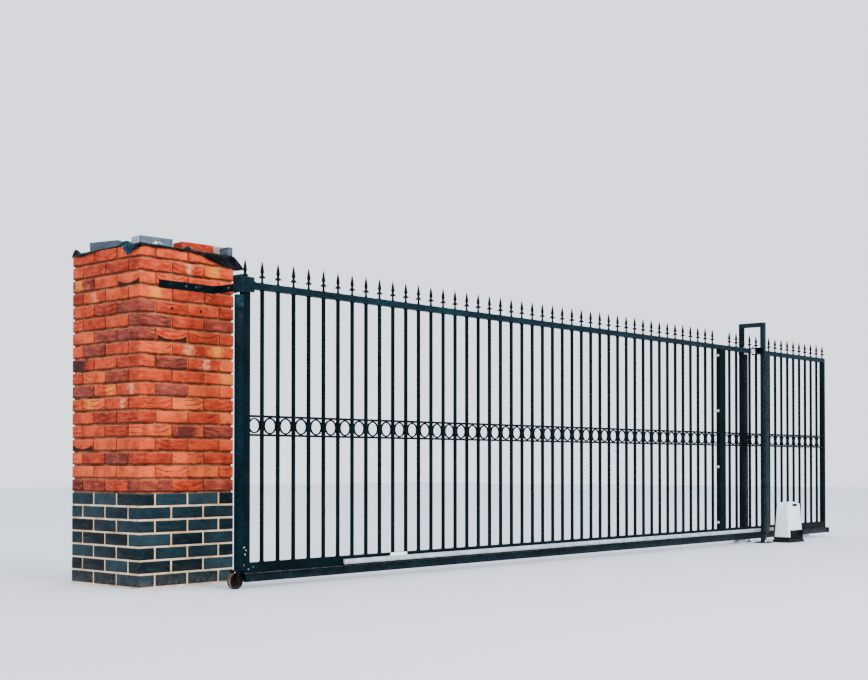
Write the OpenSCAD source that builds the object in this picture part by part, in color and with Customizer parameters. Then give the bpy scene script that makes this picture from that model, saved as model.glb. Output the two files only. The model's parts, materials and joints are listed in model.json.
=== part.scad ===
// Wrought iron sliding driveway gate with its brick gate pier, guide portal and drive.
// The gate is shut. It opens along +X, through the portal. Z is up and Z = 0 is the ground.
// The origin is on the underside of the front guide post's base plate, on the post's axis.
// -Y is the drive's side of the leaf.

/* [Leaf] */
// Distance between neighbouring upright bars
bar_pitch = 121; // [90:1:150]
// Diameter of an upright bar
bar_d = 25; // [16:1:30]
// Number of bars in the main section
main_bars = 43; // [36:1:46]
// Number of bars in the tail section
tail_bars = 15; // [6:1:18]
// Gap between the bars on each side of the site joint, axis to axis
joint_gap = 292; // [240:1:320]
// First bar to the axis of the leading upright
lead_gap = 127; // [100:1:160]
// Last bar to the axis of the tail upright
tail_gap = 127; // [100:1:160]
// Height of the top rail, and width of the box sections across the leaf
frame_w = 40; // [30:1:50]
// Width of the uprights along the leaf
upright_w = 50; // [36:1:60]
// Wall of the box sections
frame_wall = 3; // [2:0.5:5]
// Height of the bottom rail
bottom_rail_h = 58; // [40:1:80]
// Top of the top rail above the ground
rail_top_z = 1745; // [1500:5:2000]
// Last bar of the main section to the front guide post's axis
portal_to_last_bar = 708; // [650:1:800]

/* [Middle band] */
// Height of the band's middle above the ground
band_z = 925; // [700:5:1200]
// Thickness of the punched flats
flat_t = 12; // [6:1:14]
// Width of the punched flats
flat_w = 40; // [32:1:50]
// Radial thickness of the rings
ring_t = 8; // [6:1:12]
// Width of the rings across the leaf
ring_w = 12; // [8:1:20]

/* [Finials] */
// Height of a finial above the top rail
finial_h = 128; // [100:1:150]
// Widest diameter of a finial's skirt
finial_skirt_d = 40; // [30:1:44]

/* [Track beam] */
// Width of the track beam
track_w = 60; // [50:1:80]
// Height of the track beam
track_h = 50; // [44:1:70]
// Wall of the track beam
track_wall = 4; // [3:0.5:6]
// Slot along the underside of the track beam
track_slot = 26; // [20:1:34]
// Underside of the track beam above the ground
ground_gap = 36; // [30:1:60]

/* [Rack] */
// Module of the rack's teeth
rack_module = 4; // [3:1:6]
// Height of the rack bar, teeth included
rack_h = 30; // [24:1:36]
// Thickness of the rack bar
rack_t = 12; // [8:1:16]
// Length of the bosses that hold the rack off the bottom rail
boss_l = 10; // [6:1:16]
// First bar to the start of the rack
rack_start = 625; // [400:5:900]
// End of the rack to the end of the leaf
rack_short = 1110; // [500:1:1500]
// Distance between the rack's bosses
boss_pitch = 333; // [250:1:500]

/* [Leading end] */
// Projection of the leading safety edge
edge_l = 44; // [36:1:60]
// Width of the safety edges
edge_w = 40; // [30:1:40]
// Diameter of the end wheel
wheel_d = 92; // [80:1:94]
// Width of the end wheel's tread
wheel_w = 34; // [28:1:36]
// Diameter of the end wheel's axle
axle_d = 14; // [10:1:18]
// Thickness of the plate over the end wheel
wheel_plate_t = 10; // [6:1:12]

/* [Guide portal] */
// Distance between the guide posts' axes, across the leaf
portal_span = 212; // [200:1:240]
// Side of the guide posts
post_w = 40; // [30:1:50]
// Height of the portal above the top rail
portal_rise = 235; // [200:1:300]
// Side of a post's base plate
foot_w = 120; // [110:1:140]
// Thickness of a post's base plate
foot_t = 10; // [8:1:16]
// Distance between the anchor holes of a base plate
foot_hole_gap = 84; // [80:1:100]
// Diameter of an anchor hole
foot_hole_d = 14; // [10:1:18]
// Diameter of the nylon guide rollers
roller_d = 38; // [32:1:46]
// Height of the nylon guide rollers
roller_h = 45; // [36:1:56]
// Diameter of a guide roller's spindle
spindle_d = 14; // [10:1:18]
// Running gap between a guide roller and the top rail
roller_gap = 2; // [1:0.5:4]
// Projection of the safety edges on the guide posts
post_edge_l = 26; // [20:1:34]
// Width of the safety edges on the guide posts
post_edge_w = 70; // [50:1:80]

/* [Drive] */
// Guide posts' plane to the drive's middle, along the leaf
drive_x = 290; // [280:1:360]
// Width of the drive's cover at its foot
cover_w = 260; // [220:1:290]
// Depth of the drive's cover at its foot
cover_d = 148; // [120:1:180]
// Top of the drive's cover above the ground
cover_top_z = 362; // [320:1:420]
// Height of the drive's base
drive_base_h = 48; // [40:1:80]
// Leaf's middle plane to the back of the drive's cover
drive_back = 126; // [100:1:140]

/* [Pier] */
// Width of the square pier
pier_w = 675; // [550:5:780]
// Height of a plinth course, joint included
plinth_course = 76.5; // [70:0.5:80]
// Number of plinth courses
plinth_courses = 7; // [4:1:9]
// Height of a shaft course, joint included
shaft_course = 78.6; // [70:0.2:85]
// Least height of the pier above the top rail
pier_rise = 190; // [120:5:260]
// Leaf's middle plane to the pier's face
pier_gap = 378; // [340:1:400]
// Pier's end past the leaf's first bar
pier_lap = 100; // [0:1:140]

/* [Catcher] */
// Height of the catcher's strap
strap_h = 44; // [35:1:55]
// Thickness of the catcher's strap
strap_t = 8; // [6:1:12]
// Height of the catcher
catcher_h = 102; // [80:1:116]
// Clearance of the corner box in the catcher, on each side
catcher_gap = 6; // [5:1:12]

/* [Hidden] */

// Clearance of a welded or seated fit between curved faces
seat = 0.3;
// Radial clearance of a pin in its bore
run = 0.05;
round_fn = 48;

leaf_y = portal_span / 2;
portal_h = rail_top_z + portal_rise;
x_bar_end = -portal_to_last_bar;
x_bar0 = x_bar_end - (main_bars - 1) * bar_pitch;
x_joint = x_bar_end + joint_gap / 2;
x_tail0 = x_bar_end + joint_gap;
x_tail_end = x_tail0 + (tail_bars - 1) * bar_pitch;
x_lead = x_bar0 - lead_gap;
x_tail = x_tail_end + tail_gap;
leaf_x0 = x_lead - upright_w / 2;
leaf_x1 = x_tail + upright_w / 2;
leaf_l = leaf_x1 - leaf_x0;

track_top_z = ground_gap + track_h;
bottom_top_z = track_top_z + bottom_rail_h;
rail_low_z = rail_top_z - frame_w;
bar_l = rail_low_z - bottom_top_z;
main_x = [for (i = [0 : main_bars - 1]) x_bar0 + i * bar_pitch];
tail_x = [for (i = [0 : tail_bars - 1]) x_tail0 + i * bar_pitch];

flat_gap = bar_pitch - bar_d;
main_from = x_lead + upright_w / 2;
main_to = x_joint - upright_w - seat / 2;
tail_from = x_joint + upright_w + seat / 2;
tail_to = x_tail - upright_w / 2;

rack_pitch = PI * rack_module;
rack_x0 = x_bar0 + rack_start;
rack_teeth = floor((leaf_x1 - rack_short - rack_x0) / rack_pitch);
rack_l = rack_teeth * rack_pitch;
rack_low_z = track_top_z + 10;
rack_y = leaf_y - frame_w / 2 - boss_l;

edge_x = leaf_x0 - edge_l;
wheel_z = wheel_d / 2;
wheel_x = edge_x;
track_x0 = wheel_x + wheel_d / 2 + 6;
wheel_plate_z = wheel_d + 6;
edge_low_z = wheel_plate_z + wheel_plate_t;
corner_box_l = 78;
corner_box_h = 88;
corner_box_t = frame_w + 10;
corner_box_z = rail_top_z + 26 - corner_box_h;
edge_cap_h = 75;
edge_top_z = corner_box_z - 18;

roller_y = frame_w / 2 + roller_gap + roller_d / 2;
roller_x = -65;
roller_z = rail_top_z - roller_h - 4;
plate_t = 6;

pier_x1 = x_bar0 + pier_lap;
pier_x0 = pier_x1 - pier_w;
pier_y0 = leaf_y + pier_gap;
plinth_h = plinth_course * plinth_courses;
shaft_courses = ceil((rail_top_z + pier_rise - plinth_h) / shaft_course);
pier_h = plinth_h + shaft_course * shaft_courses;
sheet_t = 4;
sheet_over = 12;
loose_z = pier_h + seat + sheet_t + seat;

catcher_mouth = corner_box_t + 2 * catcher_gap;
catcher_x = edge_x + 10;
catcher_z = corner_box_z + corner_box_h / 2;
strap_z = catcher_z + 10;
arm_x = x_bar0 - 16;

// A square or oblong tube along +X from the origin, closed at both ends
module box_tube(l, w, h, wall) {
    difference() {
        translate([0, -w / 2, 0]) cube([l, w, h]);
        translate([wall, -w / 2 + wall, wall]) cube([l - 2 * wall, w - 2 * wall, h - 2 * wall]);
    }
}

// An upright tube from the origin, closed at both ends
module upright_tube(w, d, h, wall) {
    difference() {
        translate([-w / 2, -d / 2, 0]) cube([w, d, h]);
        translate([-w / 2 + wall, -d / 2 + wall, wall]) cube([w - 2 * wall, d - 2 * wall, h - 2 * wall]);
    }
}

// A box with its corners rounded in plan
module round_box(w, d, h, r) {
    linear_extrude(h) round_plan(w, d, r);
}

module round_plan(w, d, r) {
    union() {
        square([w - 2 * r, d], center = true);
        square([w, d - 2 * r], center = true);
        for (x = [-1, 1], y = [-1, 1])
            translate([x * (w / 2 - r), y * (d / 2 - r)]) circle(r, $fn = 24);
    }
}

// Plinth of blue bricks
module pier_plinth() {
    color("darkslategray") translate([pier_x0, pier_y0, 0]) cube([pier_w, pier_w, plinth_h]);
}

// Shaft of red bricks
module pier_shaft() {
    color("firebrick") translate([pier_x0, pier_y0, plinth_h])
        cube([pier_w, pier_w, pier_h - plinth_h]);
}

// Plastic sheet over the unfinished top of the pier. It hangs lower at the corner nearest the leaf
module cover_sheet() {
    droop = 96;
    skin = sheet_over - 3;
    w = pier_w + 2 * sheet_over;
    color("black") translate([pier_x0 - sheet_over, pier_y0 - sheet_over, pier_h + seat]) union() {
        cube([w, w, sheet_t]);
        translate([0, skin, 0]) rotate([90, 0, 0]) linear_extrude(skin) polygon([
            [0, sheet_t], [0, -18], [w * 0.16, -14], [w * 0.5, -10], [w * 0.66, -22], [w * 0.78, -50],
            [w * 0.9, -70], [w, -70], [w, sheet_t]
        ]);
        rotate([90, 0, 90]) linear_extrude(skin) polygon([
            [0, sheet_t], [0, -18], [w * 0.17, -58], [w * 0.3, -26], [w * 0.6, -16], [w * 0.9, -10],
            [w, -14], [w, sheet_t]
        ]);
        translate([w - 4, 0, 0]) rotate([0, 42, 0]) cube([droop, w, sheet_t]);
    }
}

// A loose brick from its corner nearest the drive
module loose_brick(x, y, turn, size) {
    translate([x, y, loose_z]) rotate([0, 0, turn]) cube(size);
}

module loose_blue_bricks() {
    color("slategray") {
        loose_brick(pier_x0 + 187, pier_y0 + 372, 104, [215, 102, 65]);
        loose_brick(pier_x0 + 80, pier_y0 + 108, -5, [215, 102, 65]);
    }
}

module loose_red_brick() {
    color("indianred") loose_brick(pier_x0 + 372, pier_y0 + 106, -5, [215, 102, 65]);
}

module loose_pale_brick() {
    color("tan") loose_brick(pier_x0 + 597, pier_y0 + 96, 0, [78, 102, 65]);
}

module loose_grey_brick() {
    color("gray") loose_brick(pier_x0 + 643, pier_y0 + 16, 0, [38, 74, 55]);
}

// Flat bar bolted to the pier, bent out towards the leaf
module catcher_strap() {
    strap_l = 403;
    bend_x = x_bar0 - 42;
    lift = strap_z - strap_h / 2;
    back = [arm_x, leaf_y + catcher_mouth / 2 + 5 + seat];
    start = [bend_x, pier_y0 - strap_t];
    run_l = norm(start - back);
    turn = atan2(back[1] - start[1], back[0] - start[0]);
    color("darkslategray") translate([0, 0, lift]) linear_extrude(strap_h) union() {
        translate([bend_x - strap_l, pier_y0 - strap_t]) square([strap_l, strap_t]);
        difference() {
            translate(start) rotate(turn) translate([-strap_t, -strap_t])
                square([run_l + strap_t * 2, strap_t]);
            translate([bend_x - strap_l, pier_y0]) square([2 * strap_l, strap_t * 4]);
            translate([arm_x - 60, leaf_y - catcher_mouth])
                square([160, catcher_mouth * 1.5 + 5 + seat]);
        }
    }
}

// U of plate that takes the corner box of the closed leaf, on a bar that runs behind the leaf to the strap's arm
module top_catcher() {
    plate = 5;
    jaw = 22;
    bar_h = strap_h - 4;
    color("darkslategray") translate([catcher_x, leaf_y, 0]) union() {
        translate([0, 0, catcher_z - catcher_h / 2]) difference() {
            translate([0, -catcher_mouth / 2 - plate, 0])
                cube([jaw, catcher_mouth + 2 * plate, catcher_h]);
            translate([plate, -catcher_mouth / 2, -1]) cube([jaw, catcher_mouth, catcher_h + 2]);
        }
        translate([0, catcher_mouth / 2, catcher_z - bar_h / 2])
            cube([arm_x + strap_t - catcher_x, plate, bar_h]);
    }
}

// Guide post on its base plate, with the anchor holes
module guide_post(y) {
    color("darkslategray") translate([0, y, 0]) union() {
        difference() {
            translate([-foot_w / 2, -foot_w / 2, 0]) cube([foot_w, foot_w, foot_t]);
            for (x = [-1, 1], v = [-1, 1])
                translate([x * foot_hole_gap / 2, v * foot_hole_gap / 2, -1])
                    cylinder(h = foot_t + 2, d = foot_hole_d, $fn = round_fn);
        }
        translate([0, 0, foot_t]) upright_tube(post_w, post_w, portal_h - post_w - foot_t, frame_wall);
    }
}

module guide_post_front() {
    guide_post(0);
}

module guide_post_rear() {
    guide_post(portal_span);
}

// Head of the portal, across the leaf
module portal_head() {
    color("darkslategray") translate([0, -post_w / 2, portal_h - post_w]) rotate([0, 0, 90])
        box_tube(portal_span + post_w, post_w, post_w, frame_wall);
}

// Rubber safety edge: a flat back with a rounded nose, standing on the XY plane
module edge_strip(l, w, h) {
    nose = min(w * 0.32, l * 0.45);
    linear_extrude(h) union() {
        translate([-l + nose, -w / 2]) square([l - nose, w]);
        translate([-l, -w / 2 + nose]) square([l, w - 2 * nose]);
        for (y = [-1, 1]) translate([-l + nose, y * (w / 2 - nose)]) circle(nose, $fn = 32);
    }
}

// Safety edge on a post's face towards the drive, up to the roller's bracket
module post_edge(y) {
    color("black") translate([0, y - post_w / 2, 90]) rotate([0, 0, 90])
        edge_strip(post_edge_l, post_edge_w, roller_z + 6 - seat - 90);
}

module post_edge_front() {
    post_edge(0);
}

module post_edge_rear() {
    post_edge(portal_span);
}

// Bracket that holds a guide roller beside the top rail. side is -1 in front of the leaf, 1 behind it
module roller_bracket(side) {
    plate_z = roller_z + roller_h + 1;
    reach = leaf_y - roller_y + roller_d / 2 - 5;
    web_y = leaf_y - roller_y - roller_d / 2 - 8 - plate_t;
    color("darkslategray") translate([0, leaf_y, 0]) mirror([0, side < 0 ? 0 : 1, 0]) translate([0, -leaf_y, 0])
        union() {
            translate([roller_x - 26, -post_w / 2, plate_z])
                cube([-roller_x + 26 - post_w / 2, reach + post_w / 2, plate_t]);
            translate([-post_w / 2 - plate_t, -post_w / 2, roller_z + 6])
                cube([plate_t, web_y + plate_t + post_w / 2, plate_z - roller_z - 6]);
            translate([roller_x + 4, web_y, roller_z + 6])
                cube([-roller_x - post_w / 2 - 4, plate_t, plate_z - roller_z - 6]);
            translate([roller_x, leaf_y - roller_y, roller_z - 12])
                cylinder(h = roller_h + 12 + plate_t + 22, d = spindle_d, $fn = round_fn);
            translate([roller_x, leaf_y - roller_y, roller_z - 12])
                cylinder(h = 11, d = spindle_d + 10, $fn = 6);
            translate([roller_x, leaf_y - roller_y, plate_z + plate_t])
                cylinder(h = 12, d = spindle_d + 10, $fn = 6);
        }
}

module roller_bracket_front() {
    roller_bracket(-1);
}

module roller_bracket_rear() {
    roller_bracket(1);
}

// Nylon roller, crowned at both ends
module guide_roller(side) {
    r = roller_d / 2;
    hole = spindle_d / 2 + run;
    color("white") translate([roller_x, leaf_y + side * roller_y, roller_z])
        rotate_extrude($fn = round_fn)
            polygon([[hole, 0], [r - 3, 0], [r, 3], [r, roller_h - 3], [r - 3, roller_h], [hole, roller_h]]);
}

module guide_roller_front() {
    guide_roller(-1);
}

module guide_roller_rear() {
    guide_roller(1);
}

// Carriage that runs inside the track beam
carriage_front_x = -210;
carriage_rear_x = leaf_x1 - 400;

module carriage(x) {
    rolling_d = track_h - 2 * track_wall - 2 * seat;
    roll_w = 12;
    neck = track_slot - 8;
    axle_z = ground_gap + track_h / 2;
    base_t = 12;
    color("gray") translate([x, leaf_y, 0]) union() {
        translate([-110, -60, 0]) cube([220, 120, base_t]);
        translate([-60, -neck / 2, base_t]) cube([120, neck, axle_z - base_t + 8]);
        for (u = [-42, 42]) {
            translate([u, 0, axle_z]) rotate([90, 0, 0])
                cylinder(h = neck + 2, d = 14, center = true, $fn = round_fn);
            for (v = [-1, 1])
                translate([u, v * (neck / 2 + 1 + roll_w / 2), axle_z]) rotate([90, 0, 0])
                    cylinder(h = roll_w, d = rolling_d, center = true, $fn = round_fn);
        }
    }
}

module carriage_front() {
    carriage(carriage_front_x);
}

module carriage_rear() {
    carriage(carriage_rear_x);
}

drive_y = leaf_y - drive_back - cover_d / 2;

module drive_base() {
    color("black") translate([drive_x, drive_y, 0]) union() {
        round_box(cover_w + 26, cover_d + 26, drive_base_h * 0.5, 18);
        translate([0, 0, drive_base_h * 0.5])
            round_box(cover_w + 12, cover_d + 12, drive_base_h * 0.5, 14);
    }
}

// Tapered cover with a low pitched top
module drive_cover() {
    low = drive_base_h;
    shoulder = cover_top_z - 16;
    color("gainsboro") translate([drive_x, drive_y, 0]) hull() {
        translate([0, 0, low]) linear_extrude(1) round_plan(cover_w, cover_d, 12);
        translate([0, 0, shoulder - 1]) linear_extrude(1)
            round_plan(cover_w * 0.92, cover_d * 0.72, 10);
        translate([0, 0, cover_top_z - 1]) linear_extrude(1)
            round_plan(cover_w * 0.36, cover_d * 0.5, 8);
    }
}

// Blank panel low on the front of the cover
module drive_panel() {
    color("black") translate([drive_x - cover_w / 2 + 20, drive_y - cover_d / 2 - 5 - seat, drive_base_h])
        cube([cover_w - 24, 5, 62]);
}

module top_rail() {
    color("darkslategray") translate([leaf_x0, leaf_y, rail_low_z])
        box_tube(leaf_l, frame_w, frame_w, frame_wall);
}

module bottom_rail() {
    color("darkslategray") translate([leaf_x0, leaf_y, track_top_z])
        box_tube(leaf_l, frame_w, bottom_rail_h, frame_wall);
}

// C section, open along its underside
module track_beam() {
    track_l = leaf_x1 - track_x0;
    color("darkslategray") translate([track_x0, leaf_y, ground_gap]) difference() {
        translate([0, -track_w / 2, 0]) cube([track_l, track_w, track_h]);
        translate([-1, -track_w / 2 + track_wall, track_wall])
            cube([track_l + 2, track_w - 2 * track_wall, track_h - 2 * track_wall]);
        translate([-1, -track_slot / 2, -1]) cube([track_l + 2, track_slot, track_wall + 2]);
    }
}

module frame_upright(x) {
    color("darkslategray") translate([x, leaf_y, bottom_top_z])
        upright_tube(upright_w, frame_w, bar_l, frame_wall);
}

module leading_upright() {
    frame_upright(x_lead);
}

module joint_uprights() {
    for (side = [-1, 1]) frame_upright(x_joint + side * (upright_w + seat) / 2);
}

module tail_upright() {
    frame_upright(x_tail);
}

module bars(places) {
    color("darkslategray") for (x = places)
        translate([x, leaf_y, bottom_top_z]) cylinder(h = bar_l, d = bar_d, $fn = round_fn);
}

module main_bars_panel() {
    bars(main_x);
}

module tail_bars_panel() {
    bars(tail_x);
}

// Punched flat, in one length for each section of the leaf
module punched_flat(z) {
    module one_length(x0, x1, places) {
        difference() {
            translate([x0, leaf_y - flat_w / 2, z - flat_t / 2]) cube([x1 - x0, flat_w, flat_t]);
            for (x = places) translate([x, leaf_y, z - flat_t])
                cylinder(h = flat_t * 2, d = bar_d + 2 * seat, $fn = round_fn);
        }
    }
    color("darkslategray") {
        one_length(main_from, main_to, main_x);
        one_length(tail_from, tail_to, tail_x);
    }
}

module upper_flat() {
    punched_flat(band_z + flat_gap / 2 + flat_t / 2);
}

module lower_flat() {
    punched_flat(band_z - flat_gap / 2 - flat_t / 2);
}

// One ring in each bay between the faces from and to, a smaller one beside an upright
module rings(from, to, places) {
    last = len(places) - 1;
    bays = concat(
        [[from, places[0] - bar_d / 2]],
        [for (i = [0 : last - 1]) [places[i] + bar_d / 2, places[i + 1] - bar_d / 2]],
        [[places[last] + bar_d / 2, to]]
    );
    color("darkslategray") translate([from, leaf_y, band_z]) for (b = bays)
        translate([(b[0] + b[1]) / 2 - from, 0, 0]) rotate([90, 0, 0]) difference() {
            od = min(b[1] - b[0], flat_gap) - 2 * seat;
            cylinder(h = ring_w, d = od, center = true, $fn = round_fn);
            cylinder(h = ring_w + 2, d = od - 2 * ring_t, center = true, $fn = round_fn);
        }
}

module main_rings() {
    rings(main_from, main_to, main_x);
}

module tail_rings() {
    rings(tail_from, tail_to, tail_x);
}

// Cast spear finial: collar, shaft, flared skirt with a flat underside, waist and long point
module finial() {
    h = finial_h;
    skirt = finial_skirt_d / 2;
    rotate_extrude($fn = 32) polygon([
        [0, 0], [10, 0], [10, h * 0.04], [7, h * 0.065], [7, h * 0.245], [skirt - 1, h * 0.245],
        [skirt, h * 0.26], [skirt - 1, h * 0.285], [12, h * 0.34], [7, h * 0.4], [9.5, h * 0.46],
        [12, h * 0.52], [10.5, h * 0.58], [2.5, h * 0.97], [0, h]
    ]);
}

// Finials at the given distances from a start
module finials(x0, places) {
    color("darkslategray") translate([x0, leaf_y, rail_top_z])
        for (x = places) translate([x, 0, 0]) finial();
}

module main_finials() {
    finials(x_bar0, concat([-lead_gap], [for (i = [0 : main_bars - 1]) i * bar_pitch]));
}

module tail_finials() {
    finials(x_tail0, concat([for (i = [0 : tail_bars - 1]) i * bar_pitch], [x_tail - x_tail0]));
}

// Steel rack with its teeth pointing down
module gear_rack() {
    tooth_h = 2.25 * rack_module;
    root_w = rack_pitch * 0.5 + rack_module * 1.25 * tan(20);
    tip_w = rack_pitch * 0.5 - rack_module * tan(20);
    outline = concat(
        [for (i = [0 : rack_teeth - 1]) let (c = (i + 0.5) * rack_pitch) each [
            [c - root_w / 2, tooth_h], [c - tip_w / 2, 0], [c + tip_w / 2, 0], [c + root_w / 2, tooth_h]
        ]],
        [[rack_l, tooth_h], [rack_l, rack_h], [0, rack_h], [0, tooth_h]]
    );
    color("silver") translate([rack_x0, rack_y, rack_low_z]) rotate([90, 0, 0])
        linear_extrude(rack_t) polygon(outline);
}

module rack_bosses() {
    count = floor((rack_l - 60) / boss_pitch);
    color("silver") for (i = [0 : count])
        translate([rack_x0 + 30 + i * boss_pitch, leaf_y - frame_w / 2, rack_low_z + rack_h - 10]) rotate([90, 0, 0])
            cylinder(h = boss_l, d = 16, $fn = round_fn);
}

// Magnet of the limit switch on its folded plate, on top of the rack
module limit_magnet() {
    magnet_x = x_bar0 + 1020;
    plate_z = rack_low_z + rack_h;
    color("white") translate([magnet_x, rack_y - rack_t - 8, plate_z]) union() {
        cube([150, rack_t + 8, 3]);
        translate([0, 0, 3]) cube([150, 3, 18]);
        translate([22, 3, 3]) cube([92, 12, 12]);
    }
}

module leading_edge() {
    color("black") translate([leaf_x0, leaf_y, edge_low_z]) edge_strip(edge_l, edge_w, edge_top_z - edge_low_z);
}

// Box of plate round the leaf's top corner, which meets the catcher
module corner_box() {
    front = 3;
    color("darkslategray") translate([leaf_x0 - front, leaf_y, corner_box_z]) difference() {
        translate([0, -corner_box_t / 2, 0]) cube([corner_box_l, corner_box_t, corner_box_h]);
        translate([front - seat, -frame_w / 2 - seat, -1])
            cube([corner_box_l, frame_w + 2 * seat, rail_top_z - corner_box_z + seat + 1]);
        translate([front + upright_w / 2, 0, rail_top_z - corner_box_z - 1])
            cylinder(h = corner_box_h, d = finial_skirt_d + 2, $fn = round_fn);
    }
}

// Plate under the safety edge and the fork that holds the end wheel
module wheel_fork() {
    lug = 22;
    lug_t = 5;
    side = wheel_w / 2 + 1.5;
    color("black") union() {
        translate([edge_x - 22, leaf_y - side - lug_t, wheel_plate_z])
            cube([leaf_x0 - edge_x + 22, 2 * (side + lug_t), wheel_plate_t]);
        for (s = [-1, 1])
            translate([wheel_x - lug / 2, leaf_y + s * (side + lug_t / 2) - lug_t / 2, wheel_z - lug / 2])
                cube([lug, lug_t, wheel_plate_z - wheel_z + lug / 2]);
        translate([wheel_x, leaf_y, wheel_z]) rotate([90, 0, 0])
            cylinder(h = 2 * side + 2, d = axle_d, center = true, $fn = round_fn);
    }
}

module tail_buffer() {
    color("black") translate([leaf_x1, leaf_y - track_w / 2, ground_gap]) cube([60, track_w, track_h]);
}

// End wheel with a rusty tread and dished sides
module end_wheel() {
    r = wheel_d / 2;
    w = wheel_w / 2;
    hole = axle_d / 2 + run;
    color("saddlebrown") translate([wheel_x, leaf_y, wheel_z]) rotate([90, 0, 0])
        rotate_extrude($fn = round_fn) polygon([
            [hole, -w], [axle_d / 2 + 8, -w], [axle_d / 2 + 10, -w + 4], [r - 10, -w + 4], [r - 8, -w],
            [r - 2, -w], [r, -w + 2], [r, w - 2], [r - 2, w], [r - 8, w], [r - 10, w - 4],
            [axle_d / 2 + 10, w - 4], [axle_d / 2 + 8, w], [hole, w]
        ]);
}

pier_plinth();
pier_shaft();
cover_sheet();
loose_blue_bricks();
loose_red_brick();
loose_pale_brick();
loose_grey_brick();
catcher_strap();
top_catcher();
guide_post_front();
guide_post_rear();
portal_head();
post_edge_front();
post_edge_rear();
roller_bracket_front();
roller_bracket_rear();
guide_roller_front();
guide_roller_rear();
carriage_front();
carriage_rear();
drive_base();
drive_cover();
drive_panel();
top_rail();
bottom_rail();
track_beam();
leading_upright();
joint_uprights();
tail_upright();
main_bars_panel();
tail_bars_panel();
upper_flat();
lower_flat();
main_rings();
tail_rings();
main_finials();
tail_finials();
gear_rack();
rack_bosses();
limit_magnet();
leading_edge();
corner_box();
wheel_fork();
tail_buffer();
end_wheel();
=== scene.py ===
import bpy, bmesh, math, json, random
from mathutils import Matrix, Vector, noise

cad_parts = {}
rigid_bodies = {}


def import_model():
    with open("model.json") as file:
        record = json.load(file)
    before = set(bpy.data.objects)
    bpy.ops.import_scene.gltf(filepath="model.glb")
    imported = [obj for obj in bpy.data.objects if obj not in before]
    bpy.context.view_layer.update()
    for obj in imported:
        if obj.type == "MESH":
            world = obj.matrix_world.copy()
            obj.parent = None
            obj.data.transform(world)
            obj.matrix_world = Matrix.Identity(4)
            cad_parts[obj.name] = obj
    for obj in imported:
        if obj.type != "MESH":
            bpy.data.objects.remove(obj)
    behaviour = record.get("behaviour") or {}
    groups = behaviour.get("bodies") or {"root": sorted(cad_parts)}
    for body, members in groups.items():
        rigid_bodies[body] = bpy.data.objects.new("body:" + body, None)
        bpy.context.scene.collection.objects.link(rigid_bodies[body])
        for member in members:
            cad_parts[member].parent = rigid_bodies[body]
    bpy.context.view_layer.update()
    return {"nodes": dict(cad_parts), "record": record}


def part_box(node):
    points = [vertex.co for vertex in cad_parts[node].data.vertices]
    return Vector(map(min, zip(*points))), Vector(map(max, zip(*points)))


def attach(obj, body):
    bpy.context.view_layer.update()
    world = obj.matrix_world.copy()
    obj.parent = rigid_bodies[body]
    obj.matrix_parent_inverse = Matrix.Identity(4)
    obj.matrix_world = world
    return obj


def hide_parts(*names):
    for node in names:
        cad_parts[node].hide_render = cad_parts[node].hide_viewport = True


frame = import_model()
print("frame loaded")

viewpoint = {"place": (-10.7529, -5.6830, 0.7023), "yaw": 48.071, "pitch": 0.872, "lens": 54.498, "sensor": 36,
    "rise": 0.1204}

def aimCamera(v):
    yaw, pitch = math.radians(v["yaw"]), math.radians(v["pitch"])
    right = Vector((math.cos(yaw), -math.sin(yaw), 0))
    ahead = Vector((math.sin(yaw), math.cos(yaw), 0))
    look = math.cos(pitch) * ahead + math.sin(pitch) * Vector((0, 0, 1))
    up = -math.sin(pitch) * ahead + math.cos(pitch) * Vector((0, 0, 1))
    bpy.ops.object.camera_add(location=v["place"])
    cam = bpy.context.object
    cam.matrix_world = Matrix.Translation(v["place"]) @ Matrix((right, up, -look)).transposed().to_4x4()
    cam.data.lens = v["lens"]
    cam.data.sensor_width = v["sensor"]
    cam.data.shift_y = v["rise"]  # the photograph looks level but shows little ground
    bpy.context.scene.camera = cam

aimCamera(viewpoint)
print("camera placed")

# Shader building. A socket knows its tree, so the helpers add their nodes to the tree of what they are given

def feed(socket, value):
    # another socket is linked in, a number or colour is set
    if isinstance(value, bpy.types.NodeSocket):
        socket.id_data.links.new(value, socket)
    else:
        socket.default_value = (*value, 1)[:4] if socket.type == "RGBA" else value

def addNode(tree, kind, inputs=(), **settings):
    node = tree.nodes.new("ShaderNode" + kind)
    for key, value in settings.items():
        setattr(node, key, value)
    for key, value in dict(inputs).items():
        feed(node.inputs[key], value)
    return node

def addRamp(source, stops):
    # stops are places on the ramp, each with a grey or a colour
    ramp = addNode(source.id_data, "ValToRGB", {"Fac": source})
    band = ramp.color_ramp.elements
    while len(band) < len(stops):
        band.new(0.5)
    for element, (place, colour) in zip(band, stops):
        element.position = place
        element.color = (*colour, 1) if hasattr(colour, "__len__") else (colour, colour, colour, 1)
    return ramp.outputs["Color"]

def treeOf(values):
    return next(value.id_data for value in values if isinstance(value, bpy.types.NodeSocket))

def addMath(action, *values):
    return addNode(treeOf(values), "Math", enumerate(values), operation=action).outputs[0]

def times(first, second):
    return addMath("MULTIPLY", first, second)

def plus(first, second):
    return addMath("ADD", first, second)

def minus(first, second):
    return addMath("SUBTRACT", first, second)

def addMix(mask, first, second, blend="MIX"):
    # on a mix node of colours, sockets 6 and 7 take them and 2 gives the result
    values = {0: mask, 6: first, 7: second}
    return addNode(treeOf(values.values()), "Mix", values, data_type="RGBA", blend_type=blend).outputs[2]

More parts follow.
